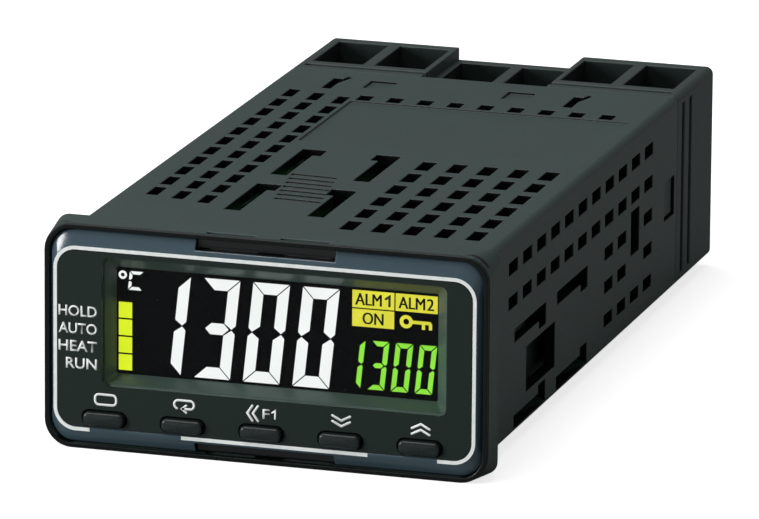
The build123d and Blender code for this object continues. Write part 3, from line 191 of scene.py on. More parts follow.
FINISH = {
    "case_plastic": moulded_plastic("ppe_case_spark_eroded", "#2e403d", 0.50),
    "block_plastic": moulded_plastic("ppe_terminal_block", "#2b3937", 0.54),
    "bezel_plastic": moulded_plastic("polycarbonate_bezel_gloss", "#40525c", 0.18, 0.6, 0.06, 0.04, 1.58),
    "frame_plastic": moulded_plastic("abs_display_frame", "#4a5c56", 0.42, 0.3, 0.2, 0.06),
    "key_plastic": moulded_plastic("abs_key_caps", "#1b2423", 0.30, 0.3, 0.2, 0.05, 1.45),
    "seal_rubber": moulded_plastic("silicone_seal", "#1d1f1f", 0.62, 0.3, 0.3, 0.08, 1.43),
    "carrier_plastic": moulded_plastic("pbt_board_carrier", "#2b2e2f", 0.45, 0.3, 0.3),
    "header_plastic": moulded_plastic("nylon_board_header", "#e3dccb", 0.40, 0.3, 0.2, 0.04, 1.53),
    "diffuser": moulded_plastic("acrylic_light_guide", "#dfe6e4", 0.35, 0.4, 0.1, 0.03, 1.49),
    "can_sleeve": moulded_plastic("pvc_capacitor_sleeve", "#1f2a44", 0.28, 0.5, 0.1, 0.08),
    "relay_case": moulded_plastic("pbt_relay_case", "#26456e", 0.33, 0.3, 0.2, 0.05),
    "film_case": moulded_plastic("pp_film_capacitor_box", "#c9b98c", 0.38, 0.3, 0.2, 0.05),
    "disc_coating": moulded_plastic("epoxy_disc_coating", "#2a5c9a", 0.22, 0.8, 0.5, 0.10, 1.55),
    "chip_black": moulded_plastic("epoxy_chip_body", "#1b1b1d", 0.48, 0.12, 0.5, 0.06, 1.55),
    "display_black": moulded_plastic("display_glass_black", "#050507", 0.30, 0.5, 0.02, 0.05, 1.2),
    "strip_rubber": moulded_plastic("conductive_rubber_strip", "#6d7176", 0.55, 0.3, 0.2, 0.08, 1.43),
    "led_white": moulded_plastic("epoxy_led_lens", "#e9e4c9", 0.25, 0.4, 0.1, 0.05, 1.53),
}
print("plastics:", len(FINISH))

# %% [markdown]
# The metal pieces: zinc-plated steel screws and washers, nickel-plated brass terminal plates, gold
# flash on the board pads, tinned leads. Plated metal is never one even tone: rolling and tumbling
# leave fine streaks, and handling leaves soft patches. Streaks change the roughness and the relief,
# patches change the colour a little.

# %% Metals
def plated_metal(name, code, stain, roughness, streak=(1.0, 6.0, 1.0), relief=0.3):
    """Metal with soft stains in its colour and fine streaks in its roughness and relief."""
    material, tree, place = start_material(name)
    streaks = noise(tree, place, 0.15, 3.0, streak)
    patches = between(tree, noise(tree, place, 2.5, 3.0), 0.0, 1.0, 0.45, 0.65)
    bump = add(tree, "ShaderNodeBump", {"Height": streaks, "Strength": relief, "Distance": 0.02 * MM})
    shader = add(tree, "ShaderNodeBsdfPrincipled", {"Base Color": blend(tree, patches, code, stain),
                                                    "Metallic": 1.0,
                                                    "Roughness": between(tree, streaks, roughness - 0.06,
                                                                         roughness + 0.08),
                                                    "Normal": bump.outputs["Normal"]})
    close_material(tree, shader)
    return material


FINISH["screw_steel"] = plated_metal("zinc_plated_steel", "#c3c7c9", "#a9adb0", 0.30, (1, 1, 1))
FINISH["brass_plated"] = plated_metal("nickel_plated_brass", "#cfc7b4", "#b5ab94", 0.26)
FINISH["gold"] = plated_metal("gold_flash_pads", "#e8c27a", "#d6a95a", 0.24)
FINISH["switch_metal"] = plated_metal("tinned_switch_cover", "#c9ccce", "#adb1b4", 0.30)
FINISH["can_metal"] = plated_metal("nickel_crystal_can", "#d2d2cd", "#b9b9b4", 0.22)
tinned_copper = plated_metal("tinned_copper_leads", "#cfd2d3", "#b2b5b6", 0.33, (1, 1, 1))
aluminium = plated_metal("aluminium_can_top", "#d8dadb", "#c2c5c6", 0.28, (1, 1, 1))
print("finishes with the metals:", len(FINISH))

# %% [markdown]
# The face is a printed polyester sheet with a fine velvet texture, almost black-green. The line
# round it and the legends are silver-white ink, which is slightly uneven at its edges and a little
# glossier than the sheet.

# %% Printed sheet and ink
def ink(name, code, shade, roughness, metallic):
    """Screen-printed ink: a faint mesh pattern and patches where it lies thinner."""
    material, tree, place = start_material(name)
    thin = between(tree, noise(tree, place, 0.8, 3.0), 0.0, 1.0, 0.40, 0.75)
    mesh = add(tree, "ShaderNodeTexVoronoi", {"Vector": place, "Scale": 1 / (0.12 * MM)})
    bump = add(tree, "ShaderNodeBump", {"Height": mesh.outputs["Distance"], "Strength": 0.15,
                                        "Distance": 0.01 * MM})
    shader = add(tree, "ShaderNodeBsdfPrincipled", {"Base Color": blend(tree, thin, code, shade),
                                                    "Metallic": metallic, "Roughness": roughness,
                                                    "Normal": bump.outputs["Normal"]})
    close_material(tree, shader)
    return material


FINISH["sheet_print"] = moulded_plastic("polyester_velvet_sheet", "#14231e", 0.45, 0.16, 0.35, 0.07, 1.38)
FINISH["silver_print"] = ink("silver_ink_line", "#fbfffd", "#ecf4f0", 0.40, 0.0)
legend_ink = ink("white_legend_ink", "#fafefc", "#eaf1ed", 0.50, 0.0)
flag_ink = ink("black_flag_mask", "#0c0c07", "#161609", 0.50, 0.0)
terminal_ink = ink("grey_terminal_ink", "#b9bfbc", "#9fa6a2", 0.55, 0.0)
print("inks:", [m.name for m in (FINISH["silver_print"], legend_ink, flag_ink, terminal_ink)])

# %% [markdown]
# The window is a hard clear polycarbonate pane with an anti-reflection coating, which is why the
# display behind it looks black in a white studio. It is thin, so it bends no light that matters:
# the shader lets light straight through and adds only its weak reflection, a little uneven where
# the coating wears.

# %% Clear pane
def clear_pane(name, index, roughness):
    """Light goes straight through; a Fresnel share of it is mirrored, as the index sets."""
    material, tree, place = start_material(name)
    rough = between(tree, noise(tree, place, 3.0), roughness, roughness + 0.04)
    share = add(tree, "ShaderNodeFresnel", {"IOR": index})
    through = add(tree, "ShaderNodeBsdfTransparent", {"Color": (0.97, 0.98, 0.98, 1.0)})
    gloss = add(tree, "ShaderNodeBsdfGlossy", {"Color": (1, 1, 1, 1), "Roughness": rough})
    close_material(tree, add(tree, "ShaderNodeMixShader", {"Fac": share.outputs[0], 1: through.outputs[0],
                                                           2: gloss.outputs[0]}))
    return material


COATED_INDEX = 1.13
FINISH["clear_window"] = clear_pane("polycarbonate_window_coated", COATED_INDEX, 0.06)
print("pane mirrors straight on:", round(((COATED_INDEX - 1) / (COATED_INDEX + 1)) ** 2, 4))

# %% [markdown]
# The display is a negative liquid crystal: black ground, lit segments. Its colours come from
# filters printed on the glass over a white light, so each segment glows nearly evenly, a little
# weaker away from the diodes. The glow is shading on the thin segment solids, kept just below
# white so that it doesn't clip.

# %% Lit segments
def lit_segment(name, code, strength, fade, patch_mm=4.0):
    """A glowing filter: the light weakens by the share fade in soft patches."""
    material, tree, place = start_material(name)
    patch = noise(tree, place, patch_mm, 1.0)
    glow = between(tree, patch, strength * (1 - fade), strength)
    shader = add(tree, "ShaderNodeBsdfPrincipled", {"Base Color": (0.01, 0.01, 0.01, 1.0), "Roughness": 0.5,
                                                    "Emission Color": linear(code),
                                                    "Emission Strength": glow})
    close_material(tree, shader)
    return material


FINISH["lit_white"] = lit_segment("filter_white_lit", "#fafcfa", 1.0, 0.05)
FINISH["lit_green"] = lit_segment("filter_green_lit", "#98f53c", 0.92, 0.12)
FINISH["lit_lime"] = lit_segment("filter_lime_lit", "#eaff1c", 0.95, 0.08)
FINISH["lit_yellow"] = lit_segment("filter_yellow_lit", "#f2ec3a", 0.92, 0.14, 1.5)
print("lit filters:", [m.name for m in bpy.data.materials if "lit" in m.name])

# %% [markdown]
# The boards are glass-epoxy with green solder mask. Copper tracks show through the mask as
# slightly lighter lines, which run along the board in some places and across it in others, and
# small round vias stand in a loose grid. The core is sintered ferrite, and the winding is wrapped
# in yellow polyester tape.

# %% Boards, ferrite and tape
TRACK_PITCH, TRACK_PATCH, VIA_PITCH, TAPE_PITCH = 2.6, 7.0, 3.1, 6.0


def solder_mask(name, code, track_code, via_code):
    """Green mask with lighter tracks in patches of two directions, and round vias."""
    material, tree, place = start_material(name)
    bands = {"Vector": place, "Scale": 1 / (TRACK_PITCH * MM)}
    along = add(tree, "ShaderNodeTexWave", bands, bands_direction="X")
    across = add(tree, "ShaderNodeTexWave", bands, bands_direction="Y")
    patch = add(tree, "ShaderNodeTexVoronoi", {"Vector": place, "Scale": 1 / (TRACK_PATCH * MM)})
    parts = add(tree, "ShaderNodeSeparateColor", {"Color": patch.outputs["Color"]})
    turn = between(tree, parts.outputs[0], 0.0, 1.0, 0.49, 0.51)
    line = add(tree, "ShaderNodeMix", {"Factor": turn, "A": along.outputs["Fac"], "B": across.outputs["Fac"]})
    laid = between(tree, parts.outputs[1], 0.0, 1.0, 0.34, 0.36)
    track = between(tree, line.outputs[0], 0.0, 1.0, 0.62, 0.70)
    shown = add(tree, "ShaderNodeMath", {0: laid, 1: track}, operation="MULTIPLY")
    vias = add(tree, "ShaderNodeTexVoronoi", {"Vector": place, "Scale": 1 / (VIA_PITCH * MM),
                                              "Randomness": 0.6})
    ring = between(tree, vias.outputs["Distance"], 1.0, 0.0, 0.10, 0.12)
    mask = blend(tree, shown.outputs[0], code, track_code)
    colour = add(tree, "ShaderNodeMix", {"Factor": ring, "A": mask, "B": linear(via_code)}, data_type="RGBA")
    bump = add(tree, "ShaderNodeBump", {"Height": shown.outputs[0], "Strength": 0.6, "Distance": 0.035 * MM})
    shader = add(tree, "ShaderNodeBsdfPrincipled", {"Base Color": colour.outputs["Result"], "Roughness": 0.30,
                                                    "IOR": 1.55, "Normal": bump.outputs["Normal"]})
    close_material(tree, shader)
    return material


def wound_tape(name, code, edge_code):
    """Tape laid in overlapping turns: a darker line and a small step at every edge."""
    material, tree, place = start_material(name)
    turns = add(tree, "ShaderNodeTexWave", {"Vector": place, "Scale": 1 / (TAPE_PITCH * MM),
                                            "Distortion": 0.6}, bands_direction="Y", wave_profile="SAW")
    edge = between(tree, turns.outputs["Fac"], 0.0, 1.0, 0.90, 0.97)
    bump = add(tree, "ShaderNodeBump", {"Height": turns.outputs["Fac"], "Strength": 0.5,
                                        "Distance": 0.06 * MM})
    shader = add(tree, "ShaderNodeBsdfPrincipled", {"Base Color": blend(tree, edge, code, edge_code),
                                                    "Roughness": 0.22, "IOR": 1.6,
                                                    "Normal": bump.outputs["Normal"]})
    close_material(tree, shader)
    return material


FINISH["board_green"] = solder_mask("glass_epoxy_green_mask", "#155433", "#1d6b40", "#c9b27a")
FINISH["ferrite"] = moulded_plastic("sintered_ferrite", "#2c2b2d", 0.46, 0.15, 0.8, 0.12, 1.9)
FINISH["coil_tape"] = wound_tape("polyester_coil_tape", "#d6a516", "#9a7008")
print("finishes:", len(FINISH))

# %% [markdown]
# Every solid takes the finish that its slot in the record names. The record comes with the frame, so
# the solids and their finishes can't fall out of step.

# %% Finishes on the solids
SLOT_OF = {part["node"]: part["material_slot"] for part in frame["record"]["subparts"]}
for node_name in NODES:
    slots = NODES[node_name].data.materials
    slots.clear()
    slots.append(FINISH[SLOT_OF[node_name]])
print("solids with a finish:", len(NODES))

# %% [markdown]
# Some faces differ from the rest of their solid, and are picked by where they lie and which way they face.
# The chips' leads and the capacitors' tops are bare metal. The front rim of the sleeve, the walls of its
# vents, slits, tracks and teeth, the terminal pockets and the notches in the bezel get near-black colours
# that are painted shade, for the shade in these recesses and seams. They are also a little smoother than the
# grained outside. All limits here are millimetres.

# %% Faces with a finish of their own
RIM_Y = -3.9
BODY_SIDE, BODY_TOP, BODY_START, BODY_END = 22.4, 10.85, 0.3, 74.5
WALL = 1.2
UPRIGHT = 0.3
SLIT_Y, SLIT_REACH, FLANGE_TOP = -3.0, 0.25, 11.98
POCKET_START, POCKET_END, POCKET_SIDE, POCKET_TOP, POCKET_FLOOR = 78.49, 88.51, 20.95, 9.8, 1.76
NOTCH_HALF, NOTCH_Z, NOTCH_Y = 7.6, 10.3, -4.0
CAN_TOP_Z = 4.3
INPUT_CHIP_X, INPUT_CHIP_HALF = 5.0, 2.02
OPTO_X, OPTO_HALF = (-13.5, -5.0), 3.27
PROCESSOR_X, PROCESSOR_Y, PROCESSOR_HALF = -6.0, 31.13, 5.02


def face_values(mesh, kind):
    """One value of every face as three columns x, y and z: its centre or its normal."""
    values = np.empty(3 * len(mesh.polygons))
    mesh.polygons.foreach_get(kind, values)
    return values.reshape(-1, 3).T


def pick_faces(name, material, picked):
    """Give another material to the faces where picked(centre in millimetres, normal) holds."""
    mesh = NODES[name].data
    mesh.materials.append(material)
    chosen = picked(face_values(mesh, "center") / MM, face_values(mesh, "normal"))
    index = np.empty(len(mesh.polygons), dtype=np.int32)
    mesh.polygons.foreach_get("material_index", index)
    index[chosen] = len(mesh.materials) - 1
    mesh.polygons.foreach_set("material_index", index)
    print(name, material.name, "on", int(chosen.sum()), "of", len(chosen), "faces")


def vent_walls(at, facing):
    """Inner walls of the openings: inside the wall's thickness, and turned away from its outer side."""
    top = (abs(at[2]) > BODY_TOP - WALL) & (abs(at[2]) < BODY_TOP) & (abs(facing[2]) < UPRIGHT)
    side = (abs(at[0]) > BODY_SIDE - WALL) & (abs(at[0]) < BODY_SIDE) & (abs(facing[0]) < UPRIGHT)
    inside_top = (abs(at[0]) < BODY_SIDE - 2 * WALL) & (at[1] < BODY_END)
    inside_side = (abs(at[2]) < BODY_TOP - WALL / 2) & (at[1] < BODY_END)
    slit = (abs(at[1] - SLIT_Y) < SLIT_REACH) & (abs(at[2]) > BODY_TOP) & (abs(at[2]) < FLANGE_TOP)
    return slit | (at[1] > BODY_START) & ((top & inside_top) | (side & inside_side))


def pocket_walls(at, facing):
    """Walls and floors of the terminal pockets: below the block's top, and between its outer walls."""
    inside = (at[1] > POCKET_START) & (at[1] < POCKET_END) & (abs(at[0]) < POCKET_SIDE)
    return inside & (((abs(facing[2]) < UPRIGHT) & (abs(at[2]) < POCKET_TOP)) | (abs(at[2]) < POCKET_FLOOR))


# Painted shade: the front rim of the sleeve and the walls of its vents, slits, tracks and teeth get a
# near-black colour for the shade they lie in.
rim_shade_plastic = moulded_plastic("ppe_rim_painted_shade", "#0a0f0e", 0.30, 0.4, 0.1, 0.05, 1.35)
# Painted shade: the walls and floors of the terminal pockets are darker for the shade inside them.
pocket_shade_plastic = moulded_plastic("ppe_pocket_painted_shade", "#1b2624", 0.38, 0.4, 0.1, 0.05, 1.45)
# Painted shade: the tool notches at the top and bottom of the bezel are near black for the shade in their
# recess.
notch_shade_plastic = moulded_plastic("polycarbonate_notch_painted_shade", "#0b0d0f", 0.22, 0.4, 0.1, 0.05, 1.58)
pick_faces("rear_case", rim_shade_plastic, lambda at, facing: (at[1] < RIM_Y) | vent_walls(at, facing))
pick_faces("terminal_block", pocket_shade_plastic, pocket_walls)
pick_faces("front_bezel", notch_shade_plastic,
           lambda at, facing: (abs(at[0]) < NOTCH_HALF) & (abs(at[2]) > NOTCH_Z) & (at[1] > NOTCH_Y))
pick_faces("smoothing_capacitors", aluminium, lambda at, facing: at[2] > CAN_TOP_Z)
pick_faces("input_chips", tinned_copper, lambda at, facing: abs(at[0] - INPUT_CHIP_X) > INPUT_CHIP_HALF)
pick_faces("optocouplers", tinned_copper,
           lambda at, facing: (abs(at[0] - OPTO_X[0]) > OPTO_HALF) & (abs(at[0] - OPTO_X[1]) > OPTO_HALF))
pick_faces("main_processor", tinned_copper,
           lambda at, facing: np.maximum(abs(at[0] - PROCESSOR_X), abs(at[1] - PROCESSOR_Y)) > PROCESSOR_HALF)

# %% [markdown]
# Moulded edges are never knife-sharp: they carry a radius of a tenth or two of a millimetre, and
# that radius is what catches the light. A softened piece is a copy of a solid with its doubled
# corners merged, its flat triangles joined, and a narrow round put on each sharp edge.

# %% Softened edges
def softened(name, radius_mm, segments=2, limit=35.0):
    """Copy a solid, merge it into one skin and round its sharp edges; the copy stands for the solid."""
    source = NODES[name]
    mesh = source.data.copy()
    mesh.transform(source.matrix_world)
    skin = bmesh.new()
    skin.from_mesh(mesh)
    bmesh.ops.remove_doubles(skin, verts=skin.verts, dist=0.0005 * MM)
    bmesh.ops.dissolve_limit(skin, angle_limit=math.radians(0.5), verts=skin.verts, edges=skin.edges,
                             delimit={"MATERIAL"})
    skin.to_mesh(mesh)
    skin.free()
    for layer in ("custom_normal", "sharp_edge"):
        if layer in mesh.attributes:
            mesh.attributes.remove(mesh.attributes[layer])
    mesh.shade_smooth()
    mesh.set_sharp_from_angle(angle=math.radians(limit))
    piece = bpy.data.objects.new(name + "_soft", mesh)
    bpy.context.scene.collection.objects.link(piece)
    edge = piece.modifiers.new("edge_round", "BEVEL")
    edge.width = radius_mm * MM
    edge.segments = segments
    edge.limit_method = "ANGLE"
    edge.angle_limit = math.radians(limit)
    edge.use_clamp_overlap = False
    edge.harden_normals = True
    edge.miter_outer = "MITER_SHARP"
    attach(piece, body_of(source)[0])
    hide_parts(name)
    return piece


EDGE_RADII = {"rear_case": 0.12, "terminal_block": 0.15, "front_bezel": 0.18, "terminal_screws": 0.10,
              "terminal_washers": 0.08, "output_relay": 0.3, "suppression_capacitor": 0.3,
              "crystal_can": 0.4, "transformer_core": 0.2}
for node_name, radius in EDGE_RADII.items():
    softened(node_name, radius)
print("softened solids:", len(EDGE_RADII))

# %% [markdown]
# The key caps are small pillows: a rounded rectangle whose front swells by a tenth of a millimetre
# and rolls over at the rim. One function makes such a body from a list of sections along Y. A
# section is a rounded rectangle, and corresponding points of neighbouring sections are joined.

# %% Bodies made of rounded sections
RING_POINTS = 64


def rounded_ring(width, height, corner):
    """Points round a rounded rectangle: corner centres at (w/2 - r, h/2 - r), plus r times (cos, sin)."""
    angle = (np.arange(RING_POINTS) + 0.5) * 2 * np.pi / RING_POINTS
    across = np.sign(np.cos(angle)) * (width / 2 - corner) + corner * np.cos(angle)
    above = np.sign(np.sin(angle)) * (height / 2 - corner) + corner * np.sin(angle)
    return np.stack([across, above], axis=1)


def add_mesh(name, points, faces, material, body, slot, smooth_below=40.0):
    """Make a mesh object of points in millimetres, and tie it to its body. The argument slot is not used."""
    mesh = bpy.data.meshes.new(name)
    mesh.from_pydata((np.asarray(points) * MM).tolist(), [], faces)
    mesh.validate()
    skin = bmesh.new()
    skin.from_mesh(mesh)
    bmesh.ops.recalc_face_normals(skin, faces=skin.faces)
    skin.to_mesh(mesh)
    skin.free()
    mesh.shade_smooth()
    mesh.set_sharp_from_angle(angle=math.radians(smooth_below))
    mesh.materials.append(material)
    piece = bpy.data.objects.new(name, mesh)
    bpy.context.scene.collection.objects.link(piece)
    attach(piece, body)
    return piece


def joined(bodies):
    """Points and faces of several bodies as one list each."""
    points, faces, start = [], [], 0
    for body_points, body_faces in bodies:
        points.append(body_points)
        faces += [[k + start for k in face] for face in body_faces]
        start += len(body_points)
    return np.concatenate(points), faces


def ring_quads(rings, count):
    """Faces between rings of count points: each joins point j and j + 1 of ring i to those of ring i + 1."""
    i, j = np.meshgrid(np.arange(rings - 1) * count, np.arange(count), indexing="ij")
    after = (j + 1) % count
    return np.stack([i + j, i + after, i + count + after, i + count + j], axis=-1).reshape(-1, 4).tolist()


def sectioned_body(sections):
    """Points and faces of a closed body: P(i, j) is point j of section i, at (x + a_j, y_i, z + b_j)."""
    rings = [np.insert(rounded_ring(w, h, r) + (x, z), 1, y, axis=1) for y, w, h, r, x, z in sections]
    points = np.concatenate(rings)
    first = list(range(RING_POINTS))
    last = [len(points) - RING_POINTS + k for k in first]
    return points, ring_quads(len(sections), RING_POINTS) + [first, last]


print("points round each section:", RING_POINTS)

# %% [markdown]
# Each key keeps the size and the place of its solid: the cap in front, the flange behind the face,
# the stem that reaches the switch. The roll-over of the cap follows a quarter circle, and the swell
# a shallow arch, so the top edge catches a thin line of light as the real keys do.

# %% Keys
KEY_NODES = ("key_level", "key_mode", "key_shift", "key_down", "key_up")
CAP_WIDTH, CAP_HEIGHT, CAP_CORNER = 4.4, 1.41, 0.55
CAP_DEPTH = 2.4
FLANGE_WIDTH, FLANGE_HEIGHT, FLANGE_CORNER = 5.9, 2.75, 0.85
FLANGE_DEPTH = 0.5
STEM_WIDTH, STEM_HEIGHT, STEM_CORNER = 1.6, 0.9, 0.08
STEM_RISE = 0.85
ROLL, SWELL = 0.30, 0.12
ROLL_STEPS = 6
SWELL_SHARES = np.linspace(0.8, 0.1, 6)


def key_sections(low, high):
    """Sections of a key, from the tip of its stem to the middle of its cap, inside its solid's box."""
    x = (low[0] + high[0]) / 2
    z = low[2] + FLANGE_HEIGHT / 2
    flange_y = low[1] + CAP_DEPTH
    stem = (STEM_WIDTH, STEM_HEIGHT, STEM_CORNER, x, z + STEM_RISE)
    flange = (FLANGE_WIDTH, FLANGE_HEIGHT, FLANGE_CORNER, x, z)
    sections = [(high[1], *stem), (flange_y + FLANGE_DEPTH, *stem), (flange_y + FLANGE_DEPTH, *flange),
                (flange_y, *flange), (flange_y, CAP_WIDTH, CAP_HEIGHT, CAP_CORNER, x, z)]
    for turn in np.linspace(0, np.pi / 2, ROLL_STEPS):
        inset = ROLL * (1 - np.cos(turn))
        y = low[1] + SWELL + ROLL * (1 - np.sin(turn))
        sections.append((y, CAP_WIDTH - 2 * inset, CAP_HEIGHT - 2 * inset, CAP_CORNER - inset, x, z))
    for share in SWELL_SHARES:
        sections.append((low[1] + SWELL * share ** 2, (CAP_WIDTH - 2 * ROLL) * share,
                         (CAP_HEIGHT - 2 * ROLL) * share, (CAP_CORNER - ROLL) * share, x, z))
    return sections


for node_name in KEY_NODES:
    low, high = (np.array(corner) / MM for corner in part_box(node_name))
    points, faces = sectioned_body(key_sections(low, high))
    home = body_of(NODES[node_name])[0]
    cap = add_mesh(node_name + "_cap", points, faces, FINISH["key_plastic"], home, "key_plastic")
    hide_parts(node_name)
print("keys:", len(KEY_NODES), "faces each:", len(faces))

# %% [markdown]
# The icons are drawn as strokes with round ends: a line of points, a half-width on both sides that
# shrinks to nothing over the round ends, and mitred corners. A bevelled curve would be round in
# section, and ink is flat, so a ribbon is worked out instead. The figure 1 is drawn this way too.

# %% Strokes
END_STEPS = 6
ONE_FLAG = 0.32


def unit(vectors):
    """Vectors scaled to length one."""
    return vectors / np.maximum(np.linalg.norm(vectors, axis=-1, keepdims=True), 1e-9)


def stroke(points, width, closed=False):
    """Ribbon along points: P +- h(s) m, m the mitre of both neighbours, h = sqrt(r^2 - d^2) beyond an end."""
    path = np.asarray(points, dtype=float)
    radius = width / 2
    if closed:
        before, after = np.roll(path, 1, axis=0), np.roll(path, -1, axis=0)
        half = np.full(len(path), radius)
    else:
        past = radius * np.sin(np.linspace(np.pi / 2, 0, END_STEPS))[:-1]
        start = path[0] - past[:, None] * unit(path[1] - path[0])
        end = path[-1] + past[::-1, None] * unit(path[-1] - path[-2])
        half = np.concatenate([np.sqrt(radius ** 2 - past ** 2), np.full(len(path), radius),
                               np.sqrt(radius ** 2 - past[::-1] ** 2)])
        path = np.concatenate([start, path, end])
        before = np.vstack([2 * path[:1] - path[1:2], path[:-1]])
        after = np.vstack([path[1:], 2 * path[-1:] - path[-2:-1]])
    along_in, along_out = unit(path - before), unit(after - path)
    normal_in = np.stack([-along_in[:, 1], along_in[:, 0]], axis=1)
    normal_out = np.stack([-along_out[:, 1], along_out[:, 0]], axis=1)
    mitre = unit(normal_in + normal_out)
    reach = half / np.maximum((mitre * normal_out).sum(axis=1), 0.4)
    one_side, other_side = path + mitre * reach[:, None], path - mitre * reach[:, None]
    count = len(path)
    steps = np.arange(count if closed else count - 1)
    after_step = (steps + 1) % count
    quads = np.stack([steps, after_step, after_step + count, steps + count], axis=1)
    return np.concatenate([one_side, other_side]), quads.tolist()


def numeral_one(x, z0, z1, width):
    """The figure 1 as one stroke: a short flag, then the stem at x down to z0."""
    rise = z1 - z0
    flag = ONE_FLAG * rise
    return stroke([(x - flag, z1 - flag), (x, z1 - width / 2), (x, z0 + width / 2)], width)


def arc(x, z, radius, start, end, steps=16):
    """Points on an arc, angles in degrees."""
    angle = np.radians(np.linspace(start, end, steps))
    return np.stack([x + radius * np.cos(angle), z + radius * np.sin(angle)], axis=1)


print("points over a round end:", END_STEPS)

# %% [markdown]
# The legends are ink a hundredth of a millimetre thick. Words are set in Blender's own plain typeface
# and fitted to their boxes. They are generic words of any controller: run, automatic, hold, heat, and
# plain numbers. All the marks of one ink are one mesh.

# %% Words and inked marks
INK = 0.012
FACE_Y = -4.5


def lay_ink(name, shapes, y, material, body, slot):
    """Join flat shapes in one mesh at depth y, and give it the thickness of ink."""
    points, faces = joined([(np.insert(flat, 1, y, axis=1), quads) for flat, quads in shapes])
    piece = add_mesh(name, points, faces, material, body, slot)
    film = piece.modifiers.new("ink_film", "SOLIDIFY")
    film.thickness = INK * MM
    film.offset = 0.0
    return piece


def word(text, x0, x1, z0, z1, bold=0.0):
    """Flat outline of a word, stretched to fill the box from x0, z0 to x1, z1."""
    curve = bpy.data.curves.new("word", "FONT")
    curve.body = text
    curve.offset = bold
    curve.resolution_u = 4
    holder = bpy.data.objects.new("word", curve)
    mesh = bpy.data.meshes.new_from_object(holder)
    flat = np.empty(3 * len(mesh.vertices))
    mesh.vertices.foreach_get("co", flat)
    flat = flat.reshape(-1, 3)[:, :2]
    low, high = flat.min(axis=0), flat.max(axis=0)
    flat = (flat - low) / (high - low) * (x1 - x0, z1 - z0) + (x0, z0)
    faces = [list(polygon.vertices) for polygon in mesh.polygons]
    bpy.data.objects.remove(holder)
    bpy.data.curves.remove(curve)
    bpy.data.meshes.remove(mesh)
    return flat, faces


print("thickness of the ink in mm:", INK)

# %% [markdown]
# The signs above the keys: a rounded rectangle for the level, a loop with an arrow for the mode,
# a double arrow with F1 for the shift, and double arrows down and up. All have strokes of a
# quarter of a millimetre.

# %% Legends on the face
STROKE = 0.25
level_sign = rounded_ring(2.3, 1.1, 0.42) + (-17.15, -6.45)
loop_sign = np.concatenate([arc(-9.2, -6.22, 0.45, 250, 90), arc(-7.95, -6.22, 0.45, 90, -90),
                            [(-8.75, -6.67)]])
legend = [stroke(level_sign, STROKE, closed=True), stroke(loop_sign, STROKE)]
legend.append(stroke([(-8.35, -6.3), (-8.8, -6.67), (-8.35, -7.05)], STROKE))
for shift in (0.0, 0.6):
    legend.append(stroke([(-1.15 + shift, -5.65), (-1.7 + shift, -6.45), (-1.15 + shift, -7.25)], STROKE))
    legend.append(stroke([(7.5, -5.9 - shift), (8.45, -6.4 - shift), (9.4, -5.9 - shift)], STROKE))
    legend.append(stroke([(16.05, -6.5 - shift), (17.0, -6.0 - shift), (17.95, -6.5 - shift)], STROKE))
SIGN_LOW, SIGN_HIGH = -6.95, -5.9
legend.append(word("F", -0.05, 0.72, SIGN_LOW, SIGN_HIGH, 0.01))
legend.append(numeral_one(1.3, SIGN_LOW, SIGN_HIGH, STROKE * 0.7))
BAR_WORDS = (("HOLD", -22.3, 2.85), ("AUTO", -22.3, 0.98), ("HEAT", -22.3, -0.9), ("RUN", -21.5, -2.77))
BAR_WORD_END, BAR_WORD_HALF, BAR_WORD_BOLD = -18.1, 0.58, 0.016
for text, x0, z in BAR_WORDS:
    legend.append(word(text, x0, BAR_WORD_END, z - BAR_WORD_HALF, z + BAR_WORD_HALF, BAR_WORD_BOLD))
lay_ink("face_legend", legend, FACE_Y - INK / 2, legend_ink, "front_unit", "sheet_print")

FLAG_FACE_Y = -2.58
LETTER_HALF, LETTER_STROKE = 0.62, 0.26
BOLD = 0.04
UPPER_Z, LOWER_Z = 6.2, 4.2
flags = []
for text, x0, x1, z in (("ALM", 9.3, 12.1, UPPER_Z), ("ALM", 13.95, 16.75, UPPER_Z),
                        ("2", 17.0, 17.7, UPPER_Z), ("ON", 10.1, 12.3, LOWER_Z)):
    for shift in (-BOLD, BOLD):
        flags.append(word(text, x0 + shift, x1 + shift, z - LETTER_HALF, z + LETTER_HALF))
flags.append(numeral_one(12.95, UPPER_Z - LETTER_HALF, UPPER_Z + LETTER_HALF, LETTER_STROKE))
lay_ink("flag_words", flags, FLAG_FACE_Y, flag_ink, "front_unit", "lit_yellow")
print("face marks:", len(legend), "flag marks:", len(flags))

# %% [markdown]
# The twelve terminals carry plain numbers, pad-printed in grey between the two rows: 1 to 6 above
# and 7 to 12 below, each beside its own screw. They face the rear, so the figures run from right to
# left when they are seen from the front.

# %% Numbers on the terminals
REAR_Y = CAD_HIGH.y / MM
COLUMNS, TERMINAL_PITCH = 6, 7.2
NUMBER_Z, NUMBER_HALF = 1.15, 0.75
FIGURE_PITCH, FIGURE_HALF, FIGURE_STROKE = 1.15, 0.42, 0.2
ONE_SHIFT = 0.1
numbers = []
for terminal in range(2 * COLUMNS):
    label = str(terminal + 1)
    x = (terminal % COLUMNS - (COLUMNS - 1) / 2) * TERMINAL_PITCH
    z = NUMBER_Z if terminal < COLUMNS else -NUMBER_Z
    for place, figure in enumerate(label):
        middle = x + (place - (len(label) - 1) / 2) * FIGURE_PITCH
        if figure == "1":
            numbers.append(numeral_one(middle + ONE_SHIFT, z - NUMBER_HALF, z + NUMBER_HALF, FIGURE_STROKE))
        else:
            numbers.append(word(figure, middle - FIGURE_HALF, middle + FIGURE_HALF, z - NUMBER_HALF,
                                z + NUMBER_HALF))
mirrored = [(flat * (-1, 1), quads) for flat, quads in numbers]
lay_ink("terminal_numbers", mirrored, REAR_Y, terminal_ink, "case", "block_plastic")
